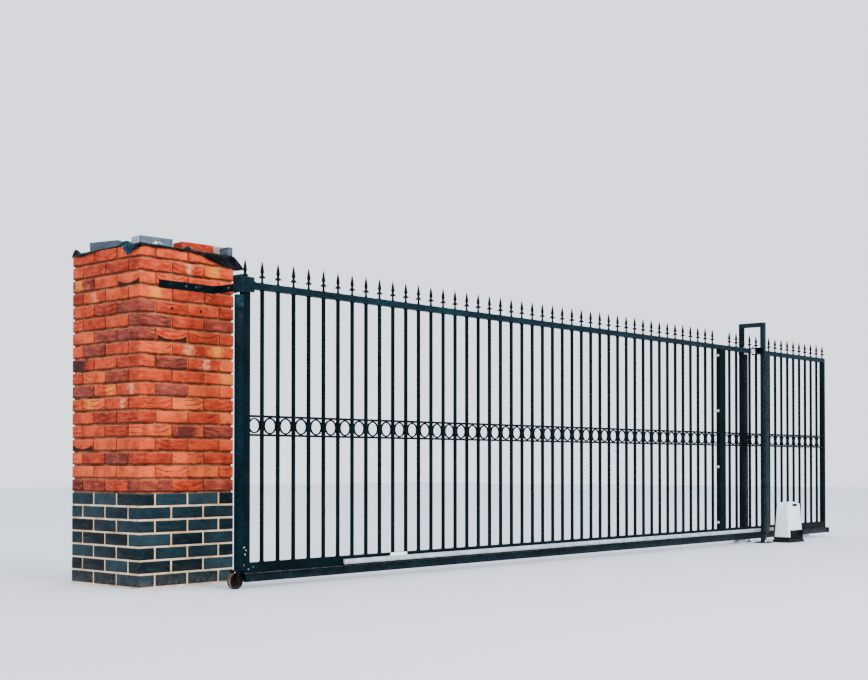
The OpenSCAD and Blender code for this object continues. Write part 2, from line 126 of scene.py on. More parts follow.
def addNoise(coords, scale, detail, rough, stretch=None):
    if stretch:
        coords = addNode(coords.id_data, "Mapping", {"Vector": coords, "Scale": stretch}).outputs["Vector"]
    return addNode(coords.id_data, "TexNoise",
        {"Vector": coords, "Scale": scale, "Detail": detail, "Roughness": rough}).outputs["Fac"]

def splitVector(vector):
    return addNode(vector.id_data, "SeparateXYZ", {0: vector}).outputs

# Node groups. Each is built once and placed in several materials

def newGroup(name, inputs, outputs):
    # inputs and outputs are names of sockets with their kinds
    tree = bpy.data.node_groups.new(name, "ShaderNodeTree")
    for way, sockets in (("INPUT", {"Coords": "Vector", **inputs}), ("OUTPUT", outputs)):
        for title, kind in sockets.items():
            tree.interface.new_socket(title, in_out=way, socket_type="NodeSocket" + kind)
    return tree, tree.nodes.new("NodeGroupInput").outputs, tree.nodes.new("NodeGroupOutput").inputs

def buildPatchyGroup():
    tree, given, result = newGroup("patchyColour",
        {"Scale": "Float", "Deep": "Color", "Plain": "Color", "Faded": "Color"}, {"Colour": "Color"})
    wide = addNoise(given["Coords"], given["Scale"], 5.0, 0.6)
    body = addMix(addRamp(wide, [(0.34, 0), (0.52, 1)]), given["Deep"], given["Plain"])
    feed(result["Colour"], addMix(addRamp(wide, [(0.5, 0), (0.72, 1)]), body, given["Faded"]))
    return tree

def buildWornEdgeGroup():
    tree, given, result = newGroup("wornEdge", {"Scale": "Float", "Amount": "Float"}, {"Mask": "Float"})
    ridge = addRamp(addNode(tree, "NewGeometry").outputs["Pointiness"], [(0.505, 0), (0.56, 1)])
    spots = addRamp(addNoise(given["Coords"], given["Scale"], 6.0, 0.7), [(0.48, 0), (0.62, 1)])
    feed(result["Mask"], times(times(ridge, spots), given["Amount"]))
    return tree

def buildSettledDustGroup():
    # dust on what faces up, and splashes near the ground
    tree, given, result = newGroup("settledDust",
        {"Scale": "Float", "Ledges": "Float", "SplashHeight": "Float", "Splash": "Float"}, {"Mask": "Float"})
    facing = splitVector(addNode(tree, "NewGeometry").outputs["Normal"])
    ledge = times(addRamp(facing["Z"], [(0.55, 0), (0.95, 1)]), given["Ledges"])
    near = minus(1.0, addMath("DIVIDE", splitVector(given["Coords"])["Z"], given["SplashHeight"]))
    near = times(addMath("POWER", addMath("MAXIMUM", near, 0.0), 2.0), given["Splash"])
    spread = addRamp(addNoise(given["Coords"], given["Scale"], 7.0, 0.68), [(0.36, 0), (0.66, 1)])
    feed(result["Mask"], addMath("MINIMUM", times(plus(ledge, near), spread), 1.0))
    return tree

def buildGrainGroup():
    tree, given, result = newGroup("fineGrain", {"Coarse": "Float", "Fine": "Float"},
        {"Height": "Float", "Roughness": "Float"})
    coarse = addNoise(given["Coords"], given["Coarse"], 3.0, 0.5)
    fine = addNoise(given["Coords"], given["Fine"], 4.0, 0.6)
    feed(result["Height"], plus(coarse, times(fine, 0.4)))
    feed(result["Roughness"], coarse)
    return tree

patchyColour, wornEdge = buildPatchyGroup(), buildWornEdgeGroup()
settledDust, fineGrain = buildSettledDustGroup(), buildGrainGroup()
print("shader groups built")

def useGroup(group, coords, **values):
    return addNode(coords.id_data, "Group", {"Coords": coords, **values}, node_tree=group).outputs

def startMaterial(name, gloss, metal=0.0):
    material = bpy.data.materials.new(name)
    material.use_nodes = True
    shader = material.node_tree.nodes["Principled BSDF"]
    feed(shader.inputs["Specular IOR Level"], gloss)
    feed(shader.inputs["Metallic"], metal)
    return material, shader, addNode(material.node_tree, "TexCoord").outputs["Object"]

grainSpread = {"From Min": 0.3, "From Max": 0.7}

def setSurface(shader, colour, grain, rough, relief, height=None):
    # rough is the range that the grain's noise is spread over, relief a strength and a depth
    spread = addNode(shader.id_data, "MapRange",
        {"Value": grain["Roughness"], **grainSpread, "To Min": rough[0], "To Max": rough[1]})
    bump = addNode(shader.id_data, "Bump",
        {"Height": height if height is not None else grain["Height"], "Strength": relief[0], "Distance": relief[1]})
    feed(shader.inputs["Base Color"], colour)
    feed(shader.inputs["Roughness"], spread.outputs["Result"])
    feed(shader.inputs["Normal"], bump.outputs["Normal"])
    return spread.outputs["Result"]

# A finish is a base with patches, worn edges, dust and grain. Each row gives the values that finishRow names
finishRow = ("deep", "plain", "faded", "bare", "dust", "patch", "gloss", "metal", "worn", "ledges", "splashHeight",
    "splash", "rough", "grain", "bump")
finishTable = {
    "gatePaint": ((0.0001, 0.0022, 0.0034), (0.0002, 0.0038, 0.0058), (0.0006, 0.007, 0.0102), (0.01, 0.018, 0.022),
        (0.1, 0.11, 0.11), 3.0, 0.05, 0.0, 0.15, 0.08, 0.12, 0.05, (0.5, 0.66), (35, 260), (0.03, 0.0008)),
    # a lighter copy of the gate paint: its lighter face is a painted sky reflection, and its lighter worn edges are
    # partly painted edge highlights
    "railPaint": ((0.0003, 0.0055, 0.0085), (0.0005, 0.0095, 0.0145), (0.001, 0.0155, 0.0225), (0.02, 0.03, 0.036),
        (0.16, 0.17, 0.17), 3.0, 0.08, 0.0, 0.25, 0.15, 0.12, 0.05, (0.36, 0.52), (35, 260), (0.12, 0.0012)),
    "postPaint": ((0.0012, 0.006, 0.009), (0.002, 0.01, 0.0145), (0.004, 0.0155, 0.021), (0.03, 0.04, 0.045),
        (0.2, 0.2, 0.19), 4.0, 0.08, 0.0, 0.3, 0.3, 0.18, 0.15, (0.26, 0.42), (40, 280), (0.12, 0.0012)),
    "castPaint": ((0.0002, 0.0014, 0.0024), (0.0004, 0.0026, 0.0044), (0.0014, 0.0055, 0.008), (0.02, 0.028, 0.032),
        (0.14, 0.15, 0.15), 22.0, 0.07, 0.0, 0.25, 0.08, 0.14, 0.0, (0.32, 0.52), (140, 700), (0.35, 0.0014)),
    "dustyPaint": ((0.0002, 0.0026, 0.004), (0.0003, 0.0045, 0.007), (0.0008, 0.008, 0.0115), (0.03, 0.04, 0.045),
        (0.26, 0.25, 0.23), 4.0, 0.05, 0.0, 0.2, 0.8, 0.08, 0.1, (0.3, 0.5), (40, 300), (0.15, 0.0012)),
    "wheelBlack": ((0.0006, 0.0009, 0.0009), (0.001, 0.0016, 0.0016), (0.003, 0.004, 0.0036), (0.05, 0.032, 0.02),
        (0.22, 0.19, 0.15), 18.0, 0.05, 0.0, 0.35, 0.3, 0.1, 0.08, (0.4, 0.7), (120, 700), (0.3, 0.001)),
    # the rubbers are black; their teal tint is a painted sky reflection
    "safetyRubber": ((0.0002, 0.0035, 0.006), (0.0004, 0.006, 0.0095), (0.001, 0.0095, 0.0145), (0.01, 0.02, 0.025),
        (0.1, 0.12, 0.12), 5.0, 0.03, 0.0, 0.2, 0.2, 0.3, 0.03, (0.45, 0.62), (60, 500), (0.15, 0.0008)),
    "postRubber": ((0.001, 0.0055, 0.008), (0.002, 0.009, 0.0125), (0.005, 0.017, 0.022), (0.06, 0.075, 0.08),
        (0.27, 0.27, 0.25), 6.0, 0.1, 0.0, 0.35, 0.5, 0.35, 0.18, (0.42, 0.6), (60, 500), (0.15, 0.0008)),
    "edgeCap": ((0.001, 0.0095, 0.014), (0.002, 0.014, 0.02), (0.004, 0.02, 0.027), (0.05, 0.07, 0.08),
        (0.3, 0.31, 0.3), 9.0, 0.04, 0.0, 0.3, 0.4, 0.1, 0.0, (0.38, 0.55), (80, 500), (0.12, 0.0008)),
    "galvanised": ((0.3, 0.37, 0.4), (0.44, 0.52, 0.55), (0.58, 0.63, 0.65), (0.66, 0.7, 0.72), (0.44, 0.38, 0.3),
        14.0, 0.5, 0.35, 0.5, 0.6, 0.2, 0.4, (0.36, 0.58), (45, 600), (0.18, 0.0008)),
    "whiteNylon": ((0.6, 0.62, 0.61), (0.74, 0.76, 0.75), (0.83, 0.84, 0.83), (0.84, 0.85, 0.85), (0.4, 0.38, 0.34),
        20.0, 0.5, 0.0, 0.2, 0.7, 0.1, 0.0, (0.3, 0.46), (90, 900), (0.1, 0.0005)),
    "blackPlastic": ((0.0003, 0.002, 0.003), (0.0006, 0.0036, 0.0052), (0.0016, 0.007, 0.0095), (0.02, 0.026, 0.028),
        (0.2, 0.19, 0.17), 12.0, 0.04, 0.0, 0.35, 0.3, 0.05, 0.2, (0.5, 0.68), (200, 1300), (0.25, 0.0006)),
    "palePlastic": ((0.7, 0.77, 0.81), (0.78, 0.85, 0.89), (0.84, 0.89, 0.92), (0.74, 0.77, 0.78), (0.42, 0.38, 0.32),
        7.0, 0.4, 0.0, 0.25, 0.2, 0.16, 0.25, (0.34, 0.5), (150, 1100), (0.15, 0.0006)),
    "bareSteel": ((0.2, 0.19, 0.17), (0.36, 0.36, 0.34), (0.5, 0.5, 0.48), (0.5, 0.5, 0.5), (0.4, 0.36, 0.3),
        60.0, 0.4, 0.3, 0.3, 0.3, 0.3, 0.2, (0.4, 0.6), (160, 900), (0.3, 0.0006)),
    "weldGrey": ((0.01, 0.018, 0.022), (0.03, 0.042, 0.048), (0.1, 0.11, 0.11), (0.2, 0.21, 0.21), (0.36, 0.36, 0.34),
        26.0, 0.4, 0.0, 0.4, 0.5, 0.3, 0.2, (0.45, 0.7), (120, 700), (0.5, 0.001))}

def buildFinish(name, row, dustScale=28.0, dustRough=0.35, sandy=False):
    f = dict(zip(finishRow, row))
    material, shader, coords = startMaterial(name, f["gloss"], f["metal"])
    patch = useGroup(patchyColour, coords, Scale=f["patch"], Deep=f["deep"], Plain=f["plain"], Faded=f["faded"])
    worn = useGroup(wornEdge, coords, Scale=45.0, Amount=f["worn"])
    dust = useGroup(settledDust, coords, Scale=dustScale, Ledges=f["ledges"], SplashHeight=f["splashHeight"],
        Splash=f["splash"])
    grain = useGroup(fineGrain, coords, Coarse=f["grain"][0], Fine=f["grain"][1])
    colour = addMix(worn["Mask"], patch["Colour"], f["bare"])
    if sandy:
        sand = addRamp(addNoise(coords, 520.0, 2.0, 0.5), [(0.3, 0.72), (0.7, 1)])
        colour = addMix(1.0, colour, sand, "MULTIPLY")
    rough = setSurface(shader, addMix(dust["Mask"], colour, f["dust"]), grain, f["rough"], f["bump"])
    feed(shader.inputs["Roughness"], addMath("MULTIPLY_ADD", dust["Mask"], dustRough, rough))
    return material

finish = {name: buildFinish(name, row) for name, row in finishTable.items()}
rust = ((0.02, 0.009, 0.005), (0.07, 0.035, 0.02), (0.26, 0.18, 0.11), (0, 0, 0), (0.16, 0.12, 0.085), 55.0, 0.5, 0.2,
    0.0, 0.3, 0.1, 0.4, (0.5, 0.85), (160, 900), (0.6, 0.0012))
finish["rustyTread"] = buildFinish("rustyTread", rust, 60.0, 0.0)
mortars = {"plinthMortar": ((0.55, 0.32, 0.17), (0.86, 0.57, 0.35), (0.9, 0.7, 0.52)),
    "freshMortar": ((0.55, 0.55, 0.54), (0.78, 0.79, 0.79), (0.88, 0.89, 0.9)),
    "shaftMortar": ((0.06, 0.014, 0.006), (0.26, 0.08, 0.03), (0.48, 0.2, 0.09))}
mortarRow = ((0, 0, 0), (0.45, 0.38, 0.3), 9.0, 0.2, 0.0, 0.0, 0.2, 0.25, 0.4, (0.8, 0.98), (90, 600), (0.7, 0.004))
for name, colours in mortars.items():
    finish[name] = buildFinish(name, (*colours, *mortarRow), 20.0, 0.0, True)

# Fired brick. On each brick the attribute tone holds its hue in red, its kind of mark in green and its chance in
# blue, and the attribute spot holds the place on it
brickMarks = {"plain": 0.0, "pale": 0.2, "yellow": 0.4, "burnt": 0.6, "smile": 0.8}
firedClay = {"markGap": 0.06, "shift": (9.0, 16.0, 23.0), "centres": (7.3, 0.56, 0.22), "ragAway": 0.7,
    "ragRise": 0.35, "ragUp": 0.3, "foldShift": 5.0, "foldPick": 13.7, "sunk": 1.6,
    "rag": (30.0, 5.0, 0.65), "shade": (11.0, 4.0, 0.6), "bloom": (46.0, 5.0, 0.62, (0.35, 0.35, 1.2)),
    "shadeBand": [(0.4, 0), (0.64, 0.9)], "bloomBand": [(0.5, 0), (0.72, 0.42)],
    # how far along a brick a mark reaches, and the share of that which is solid
    "patches": (("pale", 0.17, 0.1), ("yellow", 0.26, 0.3), ("burnt", 0.55, 0.4)), "bow": 1.5, "folds": 2.3,
    "fold": [(0.0, 1), (0.06, 0.55), (0.14, 0)], "foldPatches": (9.0, 2.0, 0.5),
    # the lip bands place the painted shade under a smile fold, the last band the painted highlight along each upper
    # edge
    "foldPatchBand": [(0.45, 0), (0.55, 1)], "foldedBricks": [(0.42, 0), (0.5, 1)], "lipUp": [(0.14, 0.97), (0.22, 0)],
    "lipEnds": [(0.45, 1), (0.49, 0)], "brow": [(0.88, 0), (0.98, 0.4)]}

def buildBrick(name, body, marked, crease, rough, gloss):
    c = firedClay
    material, shader, coords = startMaterial(name, gloss)
    tree = material.node_tree
    tone = addNode(tree, "Attribute", attribute_name="tone")
    parts = addNode(tree, "SeparateColor", {0: tone.outputs["Color"]}).outputs
    spot = splitVector(addNode(tree, "Attribute", attribute_name="spot").outputs["Vector"])
    along, up, chance = spot["X"], spot["Z"], parts["Blue"]
    # each brick takes its patterns from another place
    shift = addNode(tree, "CombineXYZ", {axis: times(chance, far) for axis, far in enumerate(c["shift"])})
    here = addNode(tree, "VectorMath", {0: coords, 1: shift.outputs[0]}, operation="ADD").outputs[0]

    def isMarked(kind):
        return addMath("COMPARE", parts["Green"], brickMarks[kind], c["markGap"])

    rag = minus(addNoise(here, *c["rag"]), 0.5)
    base = addRamp(parts["Red"], body)
    base = addMix(addRamp(addNoise(here, *c["shade"]), c["shadeBand"]), base, marked["shade"], "MULTIPLY")
    base = addMix(addRamp(addNoise(here, *c["bloom"]), c["bloomBand"]), base, marked["bloom"])
    # marks: a ragged patch part of the way along the brick
    pick, spread, nearest = c["centres"]
    centre = plus(times(addMath("FRACT", times(chance, pick)), spread), nearest)
    away = plus(addMath("ABSOLUTE", minus(along, centre)), times(rag, c["ragAway"]))
    for kind, reach, core in c["patches"]:
        patch = addRamp(away, [(reach * core, 0.85), (reach, 0)])
        base = addMix(times(isMarked(kind), patch), base, marked[kind])
    # arched folds in the fired face with painted shade in their creases, and painted shade under the lowest fold
    fromMiddle = addMath("ABSOLUTE", minus(along, 0.5))
    rise = plus(minus(up, times(addMath("POWER", fromMiddle, 2.0), c["bow"])), times(rag, c["ragRise"]))
    step = addMath("FRACT", plus(times(rise, c["folds"]), times(chance, c["foldShift"])))
    groove = addRamp(addMath("ABSOLUTE", minus(step, 0.5)), c["fold"])
    groove = times(groove, addRamp(addNoise(here, *c["foldPatches"]), c["foldPatchBand"]))
    groove = times(times(groove, addRamp(addMath("FRACT", times(chance, c["foldPick"])), c["foldedBricks"])), crease)
    paintedSmileShade = times(addRamp(rise, c["lipUp"]), addRamp(fromMiddle, c["lipEnds"]))
    base = addMix(times(isMarked("smile"), paintedSmileShade), base, marked["smile"])
    base = addMix(groove, base, marked["crack"])
    # painted shade along the foot of each brick, and a painted highlight along its upper edge
    ragged = plus(up, times(rag, c["ragUp"]))
    foot = addRamp(ragged, [(0.05, marked["foot"]), (0.15, 0)])
    base = addMix(foot, base, marked["crack"])
    base = addMix(addRamp(ragged, c["brow"]), base, marked["bloom"])
    dust = useGroup(settledDust, coords, Scale=40.0, Ledges=0.35, SplashHeight=0.16, Splash=0.2)
    grain = useGroup(fineGrain, here, Coarse=70.0, Fine=420.0)
    height = minus(grain["Height"], times(plus(groove, foot), c["sunk"]))
    setSurface(shader, addMix(dust["Mask"], base, marked["dust"]), grain, rough, (0.55, 0.0035), height)
    return material

redBody = [(0.0, (0.15, 0.03, 0.022)), (0.16, (0.23, 0.032, 0.018)), (0.34, (0.29, 0.026, 0.009)),
    (0.62, (0.44, 0.042, 0.011)), (0.85, (0.56, 0.07, 0.018)), (1.0, (0.64, 0.105, 0.026))]
# Mark colours: the crease colour paints shade in the folds and at each brick's foot, foot sets how dark that shade is,
# smile paints shade under a smile fold, and bloom also paints a highlight along each upper edge
redMarks = {"shade": (0.5, 0.36, 0.34), "bloom": (0.62, 0.125, 0.05), "pale": (0.62, 0.21, 0.1),
    "yellow": (0.6, 0.17, 0.016), "burnt": (0.008, 0.008, 0.011), "smile": (0.012, 0.005, 0.004),
    "crack": (0.04, 0.006, 0.003), "dust": (0.5, 0.26, 0.16), "foot": 0.85}
blueBody = [(0.0, (0.0008, 0.003, 0.0045)), (0.3, (0.002, 0.0085, 0.012)), (0.6, (0.0055, 0.019, 0.025)),
    (0.85, (0.012, 0.032, 0.04)), (1.0, (0.03, 0.055, 0.063))]
blueMarks = {"shade": (0.5, 0.55, 0.6), "bloom": (0.02, 0.045, 0.055), "pale": (0.2, 0.22, 0.23),
    "yellow": (0.05, 0.03, 0.035), "burnt": (0.003, 0.004, 0.005), "smile": (0.008, 0.011, 0.014),
    "crack": (0.002, 0.003, 0.004), "dust": (0.3, 0.28, 0.25), "foot": 0.25}
looseBody = [(0.0, (0.028, 0.045, 0.06)), (0.5, (0.05, 0.074, 0.094)), (1.0, (0.085, 0.115, 0.14))]
looseMarks = {**blueMarks, "shade": (0.7, 0.74, 0.8), "bloom": (0.16, 0.2, 0.25), "pale": (0.5, 0.52, 0.54),
    "crack": (0.02, 0.03, 0.04)}
paleBody = [(0.0, (0.3, 0.2, 0.17)), (0.5, (0.36, 0.27, 0.235)), (1.0, (0.25, 0.26, 0.27))]

finish["redBrick"] = buildBrick("redBrick", redBody, redMarks, 0.9, (0.7, 0.95), 0.12)
finish["blueBrick"] = buildBrick("blueBrick", blueBody, blueMarks, 0.25, (0.45, 0.7), 0.12)
finish["looseBlue"] = buildBrick("looseBlue", looseBody, looseMarks, 0.3, (0.5, 0.75), 0.4)
finish["paleBrick"] = buildBrick("paleBrick", paleBody, {**redMarks, "bloom": (0.45, 0.36, 0.32)}, 0.5, (0.75, 0.95),
    0.25)

def buildPolythene():
    # black, with a painted blue sky reflection and painted bright highlights on the big fold, where the attribute tone
    # is red
    material, shader, coords = startMaterial("polythene", 0.06)
    tree = material.node_tree
    tone = addNode(tree, "Attribute", attribute_name="tone")
    sheen = addNode(tree, "SeparateColor", {0: tone.outputs["Color"]}).outputs["Red"]
    patch = useGroup(patchyColour, coords, Scale=16.0, Deep=(0.0006, 0.0009, 0.0014), Plain=(0.0014, 0.002, 0.003),
        Faded=(0.012, 0.017, 0.023))
    paintedSkyReflection = addRamp(addNoise(coords, 38.0, 4.0, 0.6), [(0.36, (0.001, 0.007, 0.012)), (0.52, (0.003, 0.026, 0.042)),
        (0.64, (0.015, 0.085, 0.115)), (0.72, (0.25, 0.33, 0.28))])
    dust = useGroup(settledDust, coords, Scale=24.0, Ledges=0.2, SplashHeight=0.1, Splash=0.0)
    crumple = addNode(tree, "TexVoronoi", {"Vector": coords, "Scale": 34.0}, feature="DISTANCE_TO_EDGE")
    grain = useGroup(fineGrain, coords, Coarse=36.0, Fine=220.0)
    colour = addMix(dust["Mask"], addMix(sheen, patch["Colour"], paintedSkyReflection), (0.03, 0.036, 0.042))
    height = plus(grain["Height"], times(crumple.outputs["Distance"], 1.2))
    setSurface(shader, colour, grain, (0.38, 0.6), (0.6, 0.006), height)
    return material

finish["polythene"] = buildPolythene()
print("materials built", len(finish))

# Modelling helpers

def clearSelection():
    if bpy.context.object and bpy.context.object.mode != "OBJECT":
        bpy.ops.object.mode_set(mode="OBJECT")
    bpy.ops.object.select_all(action="DESELECT")

def pickOnly(*objects):
    clearSelection()
    for o in objects:
        o.select_set(True)
    bpy.context.view_layer.objects.active = objects[0]

def applyAll(obj):
    pickOnly(obj)
    bpy.ops.object.transform_apply(location=True, rotation=True, scale=True)

def finishWith(obj, kind, **settings):
    modifier = obj.modifiers.new(kind.lower(), kind)
    for key, value in settings.items():
        setattr(modifier, key, value)
    pickOnly(obj)
    bpy.ops.object.modifier_apply(modifier=modifier.name)

def startEdit(obj, action="SELECT"):
    pickOnly(obj)
    bpy.ops.object.mode_set(mode="EDIT")
    bpy.ops.mesh.select_mode(type="FACE")
    bpy.ops.mesh.select_all(action=action)

def selectFaces(obj, test):
    startEdit(obj, "DESELECT")
    mesh = bmesh.from_edit_mesh(obj.data)
    for face in mesh.faces:
        face.select_set(bool(test(face)))
    bmesh.update_edit_mesh(obj.data)

def endEdit():
    bpy.ops.object.mode_set(mode="OBJECT")

def jitter(obj, offset, seed):
    startEdit(obj)
    bpy.ops.transform.vertex_random(offset=offset, seed=seed)
    endEdit()

def joinAll(objects):
    pickOnly(*objects)
    if len(objects) > 1:
        bpy.ops.object.join()
    return bpy.context.object

def copyAt(model, matrix):
    twin = model.copy()
    twin.data = model.data.copy()
    twin.data.transform(matrix)
    bpy.context.collection.objects.link(twin)
    return twin

def drop(obj):
    bpy.data.objects.remove(obj)

def smoothBy(obj, degrees):
    pickOnly(obj)
    bpy.ops.object.shade_smooth_by_angle(angle=math.radians(degrees))

def completePiece(obj, name, body, material, replaced=()):
    applyAll(obj)
    obj.name = obj.data.name = name
    obj.data.materials.clear()
    obj.data.materials.append(finish[material])
    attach(obj, body)
    if replaced:
        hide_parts(*replaced)
    clearSelection()

def blockAt(low, high):
    size = [h - l for l, h in zip(low, high)]
    bpy.ops.mesh.primitive_cube_add(size=1, location=[(l + h) / 2 for l, h in zip(low, high)], scale=size)
    applyAll(bpy.context.object)
    return bpy.context.object

def towards(point, direction, turn=0.0):
    # from the origin and Z to a point and a direction
    spin = Vector(direction).to_track_quat("Z", "Y").to_matrix().to_4x4()
    return Matrix.Translation(point) @ spin @ Matrix.Rotation(turn, 4, "Z")

def middleOf(node):
    low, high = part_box(node)
    return (low + high) / 2

def keepWithin(obj, low, high):
    for corner in obj.data.vertices:
        for axis in range(3):
            corner.co[axis] = min(max(corner.co[axis], low[axis]), high[axis])

pierLow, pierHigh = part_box("pier_plinth")[0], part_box("pier_shaft")[1]
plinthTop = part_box("pier_plinth")[1].z

brickwork = {"plinthBrick": (0.217, 0.104, 0.0665), "shaftBrick": (0.2185, 0.1045, 0.0685), "ease": 0.0032,
    "crook": 0.0014, "models": 5, "plinthCourses": 7, "shaftCourses": 18, "seed": 11,
    "hues": {"redBrick": (0.34, 1.0), "blueBrick": (0.1, 0.9)}, "purpleHues": (0.0, 0.16), "purpleFrom": 0.93,
    # on the faces that aren't seen, a brick whose chance lies below the number has the mark
    "chances": (("burnt", 0.03), ("yellow", 0.09), ("pale", 0.16)),
    # by kind and face: course from the ground, and place in it from the near left corner
    "marks": {"burnt": {"front": [(11, 1)], "left": [(16, 2)]},
        "smile": {"front": [(18, 1)], "left": [(22, 0), (10, 2)]},
        "yellow": {"front": [(21, 0), (17, 2), (15, 2), (23, 2)], "left": [(22, 2), (14, 1), (13, 2)]},
        "pale": {"front": [(23, 1), (17, 1), (16, 2)], "left": [(21, 2), (13, 1), (14, 0)]},
        "purple": {"front": [(16, 1), (14, 1), (19, 2), (7, 0), (19, 0), (11, 2)],
            "left": [(20, 0), (18, 0), (18, 1), (17, 2), (15, 1), (14, 2), (7, 2), (9, 1)]}}}

def makeBrick(size, ease, crook, seed, cuts=0):
    # an eased and slightly crooked brick, lying along X from the origin. The attribute spot is the place on it as
    # shares of its length, depth and height
    brick = blockAt((0, 0, 0), size)
    startEdit(brick)
    bpy.ops.mesh.bevel(offset=ease, segments=2, affect="EDGES")
    bpy.ops.mesh.select_all(action="SELECT")
    if cuts:
        bpy.ops.mesh.subdivide(number_cuts=cuts)
    bpy.ops.transform.vertex_random(offset=crook, seed=seed)
    endEdit()
    layer = brick.data.attributes.new("spot", "FLOAT_VECTOR", "POINT")
    layer.data.foreach_set("vector", [v.co[axis] / size[axis] for v in brick.data.vertices for axis in range(3)])
    smoothBy(brick, 60 if cuts else 50)
    return brick

def toneBrick(brick, hue, kind, chance):
    layer = brick.data.attributes.new("tone", "FLOAT_COLOR", "POINT")
    layer.data.foreach_set("color", [hue, brickMarks[kind], chance, 1.0] * len(brick.data.vertices))

def courseBricks(n, size, width):
    # the bricks of a course as (x, y, turned, face, place) from the near left corner. The sides take whole rows of
    # three in even courses, the front and back in odd ones
    length, depth, _ = size
    wide = (width - 3 * length) / 2
    narrow = (width - 2 * length - 2 * depth) / 3
    whole = [(i, i * (length + wide)) for i in range(3)]
    inner = [(i + 1, depth + narrow + i * (length + narrow)) for i in range(2)]
    even, far = n % 2 == 0, width - depth
    onSides, onEnds = (whole, inner) if even else (inner, whole)
    sides = [(x, y, True, face, i) for face, x in (("left", 0), ("right", far)) for i, y in onSides]
    ends = [(x, y, False, face, i) for face, y in (("front", 0), ("back", far)) for i, x in onEnds]
    return sides + ends if even else ends + sides

def layBrickwork(b):
    random.seed(b["seed"])
    width = pierHigh.x - pierLow.x
    marks = {}
    for kind, faces in b["marks"].items():
        for face, spots in faces.items():
            marks.update({(n, face, i): kind for n, i in spots})
    for part, first, bottom, top, material in (("plinth", 0, pierLow.z, plinthTop, "blueBrick"),
            ("shaft", b["plinthCourses"], plinthTop, pierHigh.z, "redBrick")):
        size, count = b[part + "Brick"], b[part + "Courses"]
        models = [makeBrick(size, b["ease"], b["crook"], i + 3) for i in range(b["models"])]
        course = (top - bottom) / count
        laid = []
        for n in range(first, first + count):
            bed = bottom + (n - first + 1) * course - size[2]
            for x, y, turned, face, i in courseBricks(n, size, width):
                kind = marks.get((n, face, i), "plain")
                chance = random.random()
                hue = random.uniform(*b["hues"][material])
                if kind == "plain" and face in ("right", "back"):
                    kind = next((mark for mark, below in b["chances"] if chance < below), kind)
                if kind == "purple" or (material == "redBrick" and chance > b["purpleFrom"]):
                    hue = random.uniform(*b["purpleHues"])
                kind = "plain" if kind == "purple" else kind
                spot = Matrix.Translation((pierLow.x + x, pierLow.y + y, bed))
                if turned:
                    spot = spot @ Matrix.Translation((size[1], 0, 0)) @ Matrix.Rotation(math.pi / 2, 4, "Z")
                brick = copyAt(random.choice(models), spot)
                toneBrick(brick, hue, kind, random.random())
                laid.append(brick)
        wall = joinAll(laid)
        keepWithin(wall, pierLow, pierHigh)
        completePiece(wall, part + "Bricks", "fixed_parts", material, ["pier_" + part])
        for brick in models:
            drop(brick)

layBrickwork(brickwork)

# Mortar behind the bricks' faces. The shaft's ends a little below its top course
mortarWork = {"plinthRecess": 0.0036, "plinthCuts": 44, "shaftRecess": 0.0085, "shaftCuts": 60, "below": 0.004,
    "crook": 0.0016, "seed": 5}

def layMortar(m, part, low, high):
    recess = m[part + "Recess"]
    block = blockAt((low[0] + recess, low[1] + recess, low[2]), (high[0] - recess, high[1] - recess, high[2]))
    startEdit(block)
    bpy.ops.mesh.subdivide(number_cuts=m[part + "Cuts"])
    bpy.ops.mesh.select_all(action="SELECT")
    bpy.ops.transform.vertex_random(offset=m["crook"], seed=m["seed"])
    endEdit()
    keepWithin(block, low, high)
    smoothBy(block, 60)
    completePiece(block, part + "Mortar", "fixed_parts", part + "Mortar")

layMortar(mortarWork, "plinth", pierLow, (pierHigh.x, pierHigh.y, plinthTop))
layMortar(mortarWork, "shaft", (pierLow.x, pierLow.y, plinthTop), pierHigh - Vector((0, 0, mortarWork["below"])))
print("pier laid")

# Pieces that take the CAD node's own shape, by how many metres its sharp edges are rounded
roundings = {0.0005: "limit_magnet", 0.0007: "guide_roller_front guide_roller_rear rack_bosses",
    0.0008: "upper_flat lower_flat roller_bracket_front roller_bracket_rear",
    0.0009: "top_catcher wheel_fork end_wheel", 0.001: "carriage_front carriage_rear",
    0.0012: "post_edge_front post_edge_rear catcher_strap corner_box leading_edge",
    0.0014: "main_rings tail_rings drive_panel", 0.002: "track_beam",
    0.0028: "guide_post_front guide_post_rear portal_head", 0.003: "top_rail",
    0.0035: "bottom_rail leading_upright joint_uprights tail_upright drive_base", 0.004: "tail_buffer",
    0.005: "drive_cover"}
slotFinish = {"paint": "gatePaint", "rubber": "safetyRubber", "nylon": "whiteNylon", "zinc": "galvanised",
    "black_plastic": "blackPlastic", "pale_plastic": "palePlastic", "wheel_iron": "rustyTread", "stone": "redBrick",
    "sheet": "polythene"}
# The top rail, corner box and top catcher take the copy of the gate paint that carries a painted sky reflection
otherFinish = {"dustyPaint": "track_beam", "railPaint": "top_rail corner_box top_catcher",
    "postPaint": "guide_post_front portal_head", "wheelBlack": "wheel_fork", "blackPlastic": "tail_buffer",
    "postRubber": "post_edge_front post_edge_rear"}
slotOf = {part["node"]: part["material_slot"] for part in frame["record"]["subparts"]}
bodyOf = {node: body for body, nodes in frame["record"]["behaviour"]["bodies"].items() for node in nodes}

def pieceName(node):
    first, *rest = node.split("_")
    return first + "".join(word.capitalize() for word in rest)

def dropNotes(obj):
    # a copy of a CAD node loses what the frame has noted on it
    for key in list(obj.keys()):
        del obj[key]

# Points nearer than weld become one, and so do faces within flat degrees. Edges over sharp degrees are rounded
cadMesh = {"weld": 0.00002, "flat": 1, "sharp": 32, "smooth": 38}

